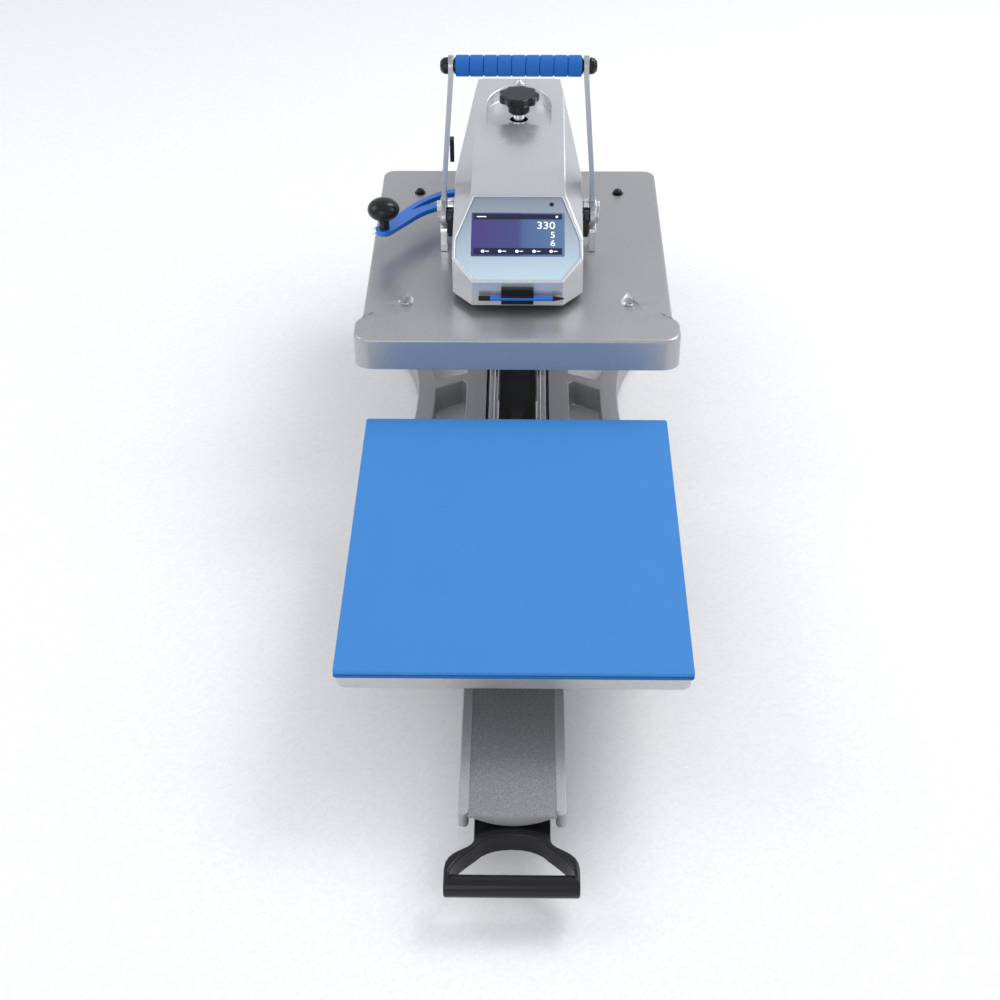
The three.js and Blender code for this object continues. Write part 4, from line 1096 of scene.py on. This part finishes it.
class PRESS_OT_lift_handle(Maker, bpy.types.Operator):
    """Lever arms with coated outer faces, their cross tube and magnet."""

    bl_idname = "press.lift_handle"
    bl_label = "Lift handle"

    def execute(self, context):
        size = sizes()
        for side, sign in (("left", -1), ("right", 1)):

            def coated(normal, centre):
                return 1 if normal.x * sign > 0.5 else 0

            arm = "lever_arm_" + side
            dress(arm, ground_steel(), size.edge, paint=coated, extra=[blue_coat()])
        dress("grip_tube", gloss_black(), size.edge)
        dress("handle_magnet", moulded_black(), size.edge)
        return {"FINISHED"}


# A ridge's rounded end: each distance along the grip, and how much of the groove's depth is left.
RIDGE_END = ((0.0, 1.0), (0.0004, 0.5), (0.001, 0.16), (0.002, 0.03), (0.0034, 0.0))
GRIP_CLEARANCE = 0.0002


class PRESS_OT_grip(Maker, bpy.types.Operator):
    """Foam grip: a row of equal ridges with narrow grooves between."""

    bl_idname = "press.grip"
    bl_label = "Foam grip"

    def execute(self, context):
        size = sizes()
        low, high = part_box("foam_grip")
        centre = (low + high) / 2
        radius = (high.z - low.z) / 2
        pitch = (high.x - low.x) / size.grip_rings
        tube_low, tube_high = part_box("grip_tube")
        bore = (tube_high.z - tube_low.z) / 2 + GRIP_CLEARANCE
        rise = [(radius - sunk * size.grip_groove, x) for x, sunk in RIDGE_END]
        fall = [(r, pitch - x) for r, x in reversed(rise)]
        ring = lathe_open([(bore, 0.0), *rise, *fall, (bore, pitch)], 64)
        step = (0.0, 0.0, pitch)
        row = grown(ring, "Row of copies", grip_foam(), Count=size.grip_rings, Step=step)
        start = Matrix.Translation((low.x, centre.y, centre.z))
        row.transform(start @ Matrix.Rotation(math.pi / 2, 4, "Y"))
        piece("foam_grip_finish", row, [grip_foam()], "foam_grip", ("foam_grip",))
        return {"FINISHED"}


class PRESS_OT_head_cover(Maker, bpy.types.Operator):
    """Silver head cover and the small screw behind its knob."""

    bl_idname = "press.head_cover"
    bl_label = "Head cover"

    def execute(self, context):
        dress("head_cover", silver_lacquer(), COVER_EDGE)
        dress("cover_screw", bright_chrome(), 0.0)
        return {"FINISHED"}


# ---- Control pod ----
POD_TILT = math.radians(25)
POD_UP = Vector((0, math.cos(POD_TILT), math.sin(POD_TILT)))
POD_OUT = Vector((0, -math.sin(POD_TILT), math.cos(POD_TILT)))
INK = 0.00012  # thickness of each layer drawn on the display
BAR_INSET = 0.003
TOP_BAR = (0.0115, 0.0025)  # the bar's two edges, down from the display's top
FOOT_BAR = (0.0025, 0.0135)  # the bar's two edges, up from the display's foot
FIGURES_INSET = 0.012
FIGURES = (("330", 0.0145, 0.0125), ("5", -0.0015, 0.0105), ("6", -0.0155, 0.0105))
FONT_SIZE = 1.4  # for figures one unit tall
SIGNS = 5
SIGN_INSET = 0.016
SIGN_PITCH = 0.0235
SIGN_HEIGHT = 0.008  # from the display's foot
DOT_RADIUS = 0.0024
DASH = (0.0035, 0.0085)  # the dash's two ends, from the dot's middle
DASH_HALF = 0.0006
TITLE_ENDS = (0.007, 0.02)  # from the display's left side
TITLE_EDGES = (0.0078, 0.0062)  # from the display's top
CORNER_DOT = (0.01, 0.007, 0.0018)  # from the right side, from the top, and its radius
SENSOR_RIGHT = 0.047
SENSOR_DOWN = 0.0115


def pod_face(node):
    """Matrix of a node's tilted face, and half its height up the slope.

    X points to the right, Y up the slope and Z outward.
    """
    points = [vert.co for vert in NODES[node].data.vertices]
    ups = [point.dot(POD_UP) for point in points]
    out = max(point.dot(POD_OUT) for point in points)
    origin = POD_UP * (max(ups) + min(ups)) / 2 + POD_OUT * out
    matrix = Matrix((Vector((1, 0, 0)), POD_UP, POD_OUT)).transposed().to_4x4()
    matrix.translation = origin
    return matrix, (max(ups) - min(ups)) / 2


def add_block(bm, x0, x1, y0, y1, z0, z1):
    """Adds a plain block to a bmesh."""
    made = bmesh.ops.create_cube(bm, size=1.0)["verts"]
    scale = Matrix.Diagonal((x1 - x0, y1 - y0, z1 - z0, 1))
    shift = Matrix.Translation(((x0 + x1) / 2, (y0 + y1) / 2, (z0 + z1) / 2))
    bmesh.ops.transform(bm, matrix=shift @ scale, verts=made)


def add_disc(bm, x, y, radius, z0, z1, count=24):
    """Adds a short round post to a bmesh."""
    place = Matrix.Translation((x, y, (z0 + z1) / 2))
    bmesh.ops.create_cone(
        bm, cap_ends=True, segments=count, radius1=radius, radius2=radius,
        depth=z1 - z0, matrix=place,
    )


def add_number(bm, text, right, y, height, lift, thickness):
    """Adds raised figures that end at the line right."""
    font = bpy.data.curves.new("figures", "FONT")
    font.body = text
    font.size = height * FONT_SIZE
    font.align_x = "RIGHT"
    font.align_y = "CENTER"
    font.extrude = thickness / 2
    font.resolution_u = 4
    holder = bpy.data.objects.new("figures", font)
    bpy.context.scene.collection.objects.link(holder)
    bpy.context.view_layer.update()
    seen = holder.evaluated_get(bpy.context.evaluated_depsgraph_get())
    mesh = bpy.data.meshes.new_from_object(seen)
    mesh.transform(Matrix.Translation((right, y, lift + thickness / 2)))
    bm.from_mesh(mesh)
    bpy.data.objects.remove(holder)


class PRESS_OT_control_pod(Maker, bpy.types.Operator):
    """Printed face, glass display with its bars, figures and plain signs, and the light sensor."""

    bl_idname = "press.control_pod"
    bl_label = "Control pod"

    def execute(self, context):
        dress("face_panel", face_print(), FINE_EDGE)
        dress("touch_screen", lit_display(), FINE_EDGE)
        low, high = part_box("touch_screen")
        place, tall = pod_face("touch_screen")
        half = (high.x - low.x) / 2
        bars = bmesh.new()
        for foot, top in (
            (tall - TOP_BAR[0], tall - TOP_BAR[1]),
            (FOOT_BAR[0] - tall, FOOT_BAR[1] - tall),
        ):
            add_block(bars, BAR_INSET - half, half - BAR_INSET, foot, top, 0.0, INK)
        bars.transform(place)
        piece("display_bars", bars, [display_bar()], "touch_screen")
        signs = bmesh.new()
        for text, y, height in FIGURES:
            add_number(signs, text, half - FIGURES_INSET, y, height, INK, INK)
        for number in range(SIGNS):
            x = SIGN_INSET - half + number * SIGN_PITCH
            y = SIGN_HEIGHT - tall
            add_disc(signs, x, y, DOT_RADIUS, INK, 2 * INK)
            add_block(
                signs, x + DASH[0], x + DASH[1], y - DASH_HALF, y + DASH_HALF, INK, 2 * INK
            )
        left, right = (end - half for end in TITLE_ENDS)
        foot, top = (tall - edge for edge in TITLE_EDGES)
        add_block(signs, left, right, foot, top, INK, 2 * INK)
        from_side, from_top, radius = CORNER_DOT
        add_disc(signs, half - from_side, tall - from_top, radius, INK, 2 * INK)
        signs.transform(place)
        piece("display_signs", signs, [display_white()], "touch_screen")
        face_place, face_tall = pod_face("face_panel")
        rim, dome = 0.0034, 0.0026
        back, rim_top, dome_edge, dome_top = -0.0004, 0.0004, 0.0008, 0.001
        profile = [(0, back), (rim, back), (rim, rim_top), (dome, dome_edge), (0, dome_top)]
        sensor = lathe(profile, 28)
        spot = Matrix.Translation((SENSOR_RIGHT, face_tall - SENSOR_DOWN, 0))
        sensor.transform(face_place @ spot)
        piece("light_sensor", sensor, [gloss_black()], "face_panel")
        keep("controller_board", circuit_green())
        return {"FINISHED"}


STYLUS_TIP = 0.016  # length of each black end


class PRESS_OT_stylus(Maker, bpy.types.Operator):
    """Blue stylus with black ends, and its clip."""

    bl_idname = "press.stylus"
    bl_label = "Stylus"

    def execute(self, context):
        low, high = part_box("stylus")
        joins = (low.x + STYLUS_TIP, high.x - STYLUS_TIP)

        def ends(normal, centre):
            return 1 if min(centre.x - low.x, high.x - centre.x) < STYLUS_TIP else 0

        cuts = [(Vector((x, 0, 0)), (1, 0, 0)) for x in joins]
        dress("stylus", blue_coat(), 0.0, paint=ends, extra=[moulded_black()], cuts=cuts)
        dress("stylus_holder", moulded_black(), CLIP_EDGE)
        return {"FINISHED"}


KNOB_NECK = 0.0075  # radius of the swing knob's foot
KNOB_HEIGHT = 0.7  # half the ball's height, as a share of its radius


class PRESS_OT_swing_handle(Maker, bpy.types.Operator):
    """Slotted blue bar and the gloss ball knob on its stud."""

    bl_idname = "press.swing_handle"
    bl_label = "Swing handle"

    def execute(self, context):
        dress("swing_handle_bar", blue_coat(), PLATE_EDGE)
        low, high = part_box("swing_handle_knob")
        centre = (low + high) / 2
        tall = high.z - low.z
        radius = (high.x - low.x) / 2
        half = KNOB_HEIGHT * radius
        outline = ball(tall - half, radius, half / radius, 32)
        dome = [(r, z) for r, z in outline if r > KNOB_NECK or z > half]
        knob = lathe([(0, 0), (KNOB_NECK, 0), (KNOB_NECK, dome[0][1]), *dome], 64)
        knob.transform(Matrix.Translation((centre.x, centre.y, low.z)))
        node = "swing_handle_knob"
        piece(node + "_finish", knob, [gloss_black()], node, (node,))
        return {"FINISHED"}


class PRESS_OT_pressure_knob(Maker, bpy.types.Operator):
    """Lobed pressure knob, its chrome spindle and the nut that it drives."""

    bl_idname = "press.pressure_knob"
    bl_label = "Pressure knob"

    def execute(self, context):
        dress("pressure_knob", gloss_black(), KNOB_EDGE)
        dress("pressure_spindle", bright_chrome(), FINE_EDGE)
        dress("pressure_nut", bearing_bronze(), FINE_EDGE)
        return {"FINISHED"}


class PRESS_OT_column(Maker, bpy.types.Operator):
    """Swing column, its collar, washer and cap, and the swing arm with its bushes."""

    bl_idname = "press.column"
    bl_label = "Column and swing arm"

    def execute(self, context):
        size = sizes()
        dress("swing_arm", casting_grey(), size.cast_edge)
        dress("column", turned_steel(), size.edge)
        for node in ("column_collar", "column_cap"):
            dress(node, blackened_steel(), COLLAR_EDGE)
        for node in ("thrust_washer", "swing_bush_lower", "swing_bush_upper"):
            dress(node, bearing_bronze(), size.edge)
        return {"FINISHED"}


class PRESS_OT_electrics(Maker, bpy.types.Operator):
    """Electrical box with its inlet, rocker switch and reset button."""

    bl_idname = "press.electrics"
    bl_label = "Electrical box"

    def execute(self, context):
        size = sizes()
        dress("power_box", moulded_black(), BOX_EDGE)
        dress("inlet_socket", matt_black(), size.edge)
        dress("power_rocker", gloss_black(), size.edge)
        dress("reset_button", matt_black(), FINE_EDGE)
        return {"FINISHED"}


# ---- Studio ----
LENS = 62.49
FILM = 36.0
VIEW_RANGE = (0.01, 60)
YAW = math.radians(-1.0)
PITCH = math.radians(36.7)
ROLL = math.radians(-0.27)
EYE_FROM_PAD = Vector((0.01105, -1.6941, 1.3151))
FLOOR_REACH = 9.0
SKY = (0.93, 0.95, 1.0, 1.0)
SKY_STRENGTH = 0.68
LIT_POINT = (0.0, 0.1, 0.2)
# Name, place, size and power of each light.
LIGHTS = (
    ("Key light", (1.4, 1.3, 2.6), 1.4, 30),
    ("Front fill", (-1.0, -2.7, 1.6), 2.0, 15),
    ("Left light", (-2.4, 0.3, 2.0), 1.6, 16),
    ("Right light", (2.4, 0.2, 2.0), 1.6, 12),
)


def studio_light(name, place, target, size, power):
    """A soft square light that looks at a point."""
    light = bpy.data.lights.new(name, "AREA")
    light.shape = "SQUARE"
    light.size = size
    light.energy = power
    obj = bpy.data.objects.new(name, light)
    obj.location = place
    obj.rotation_euler = (Vector(target) - Vector(place)).to_track_quat("-Z", "Y").to_euler()
    bpy.context.scene.collection.objects.link(obj)
    return obj


class PRESS_OT_studio(Maker, bpy.types.Operator):
    """Pale floor, soft lights and the camera."""

    bl_idname = "press.studio"
    bl_label = "Studio"

    def execute(self, context):
        scene = context.scene
        floor = bpy.data.meshes.new("studio_floor")
        signs = ((-1, -1), (1, -1), (1, 1), (-1, 1))
        corners = [(x * FLOOR_REACH, y * FLOOR_REACH, 0) for x, y in signs]
        floor.from_pydata(corners, [], [(0, 1, 2, 3)])
        paper = surface("Studio paper", colours().paper, 0.0, (0.8, 0.9), patch=1.0)
        floor.materials.append(paper)
        ground = bpy.data.objects.new("studio_floor", floor)
        scene.collection.objects.link(ground)
        world = bpy.data.worlds.new("Studio world")
        world.use_nodes = True
        sky = world.node_tree.nodes["Background"]
        sky.inputs["Color"].default_value = SKY
        sky.inputs["Strength"].default_value = SKY_STRENGTH
        scene.world = world
        for name, place, size, power in LIGHTS:
            studio_light(name, place, LIT_POINT, size, power)
        pad_low, pad_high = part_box("silicone_pad")
        pad_top = (pad_low + pad_high) / 2
        pad_top.z = pad_high.z
        level = Vector((math.sin(YAW), math.cos(YAW), 0))
        ahead = level * math.cos(PITCH) - Vector((0, 0, math.sin(PITCH)))
        right = Vector((math.cos(YAW), -math.sin(YAW), 0))
        up = right.cross(ahead)
        right, up = (
            right * math.cos(ROLL) + up * math.sin(ROLL),
            up * math.cos(ROLL) - right * math.sin(ROLL),
        )
        view = bpy.data.cameras.new("Camera")
        view.sensor_width = FILM
        view.lens = LENS
        view.clip_start, view.clip_end = VIEW_RANGE
        camera = bpy.data.objects.new("Camera", view)
        turn = Matrix((right, up, -ahead)).transposed().to_4x4()
        camera.matrix_world = Matrix.Translation(pad_top + EYE_FROM_PAD) @ turn
        scene.collection.objects.link(camera)
        scene.camera = camera
        scene.view_settings.view_transform = "Standard"
        return {"FINISHED"}


# ---- Panel and start ----
OPERATORS = (
    PRESS_OT_base,
    PRESS_OT_slides,
    PRESS_OT_drawer,
    PRESS_OT_drawer_handle,
    PRESS_OT_lower_platen,
    PRESS_OT_upper_platen,
    PRESS_OT_cover_fasteners,
    PRESS_OT_linkage,
    PRESS_OT_lift_springs,
    PRESS_OT_lift_handle,
    PRESS_OT_grip,
    PRESS_OT_head_cover,
    PRESS_OT_control_pod,
    PRESS_OT_stylus,
    PRESS_OT_swing_handle,
    PRESS_OT_pressure_knob,
    PRESS_OT_column,
    PRESS_OT_electrics,
    PRESS_OT_studio,
)


class PRESS_PT_panel(bpy.types.Panel):
    """Lists the press's colours, sizes and pieces."""

    bl_idname = "PRESS_PT_panel"
    bl_label = "Heat press"
    bl_space_type = "VIEW_3D"
    bl_region_type = "UI"
    bl_category = "Press"

    def draw(self, context):
        for group in (context.scene.press_colours, context.scene.press_sizes):
            box = self.layout.box()
            for name in group.bl_rna.properties.keys():
                if name not in ("rna_type", "name"):
                    box.prop(group, name)
        for operator in OPERATORS:
            self.layout.operator(operator.bl_idname)


def register():
    for made in (PressColours, PressSizes, *OPERATORS, PRESS_PT_panel):
        bpy.utils.register_class(made)
    bpy.types.Scene.press_colours = bpy.props.PointerProperty(type=PressColours)
    bpy.types.Scene.press_sizes = bpy.props.PointerProperty(type=PressSizes)


def unregister():
    del bpy.types.Scene.press_sizes
    del bpy.types.Scene.press_colours
    for made in reversed((PressColours, PressSizes, *OPERATORS, PRESS_PT_panel)):
        bpy.utils.unregister_class(made)


def main():
    register()
    for operator in OPERATORS:
        group, name = operator.bl_idname.split(".")
        getattr(getattr(bpy.ops, group), name)()


if __name__ == "__main__":
    main()
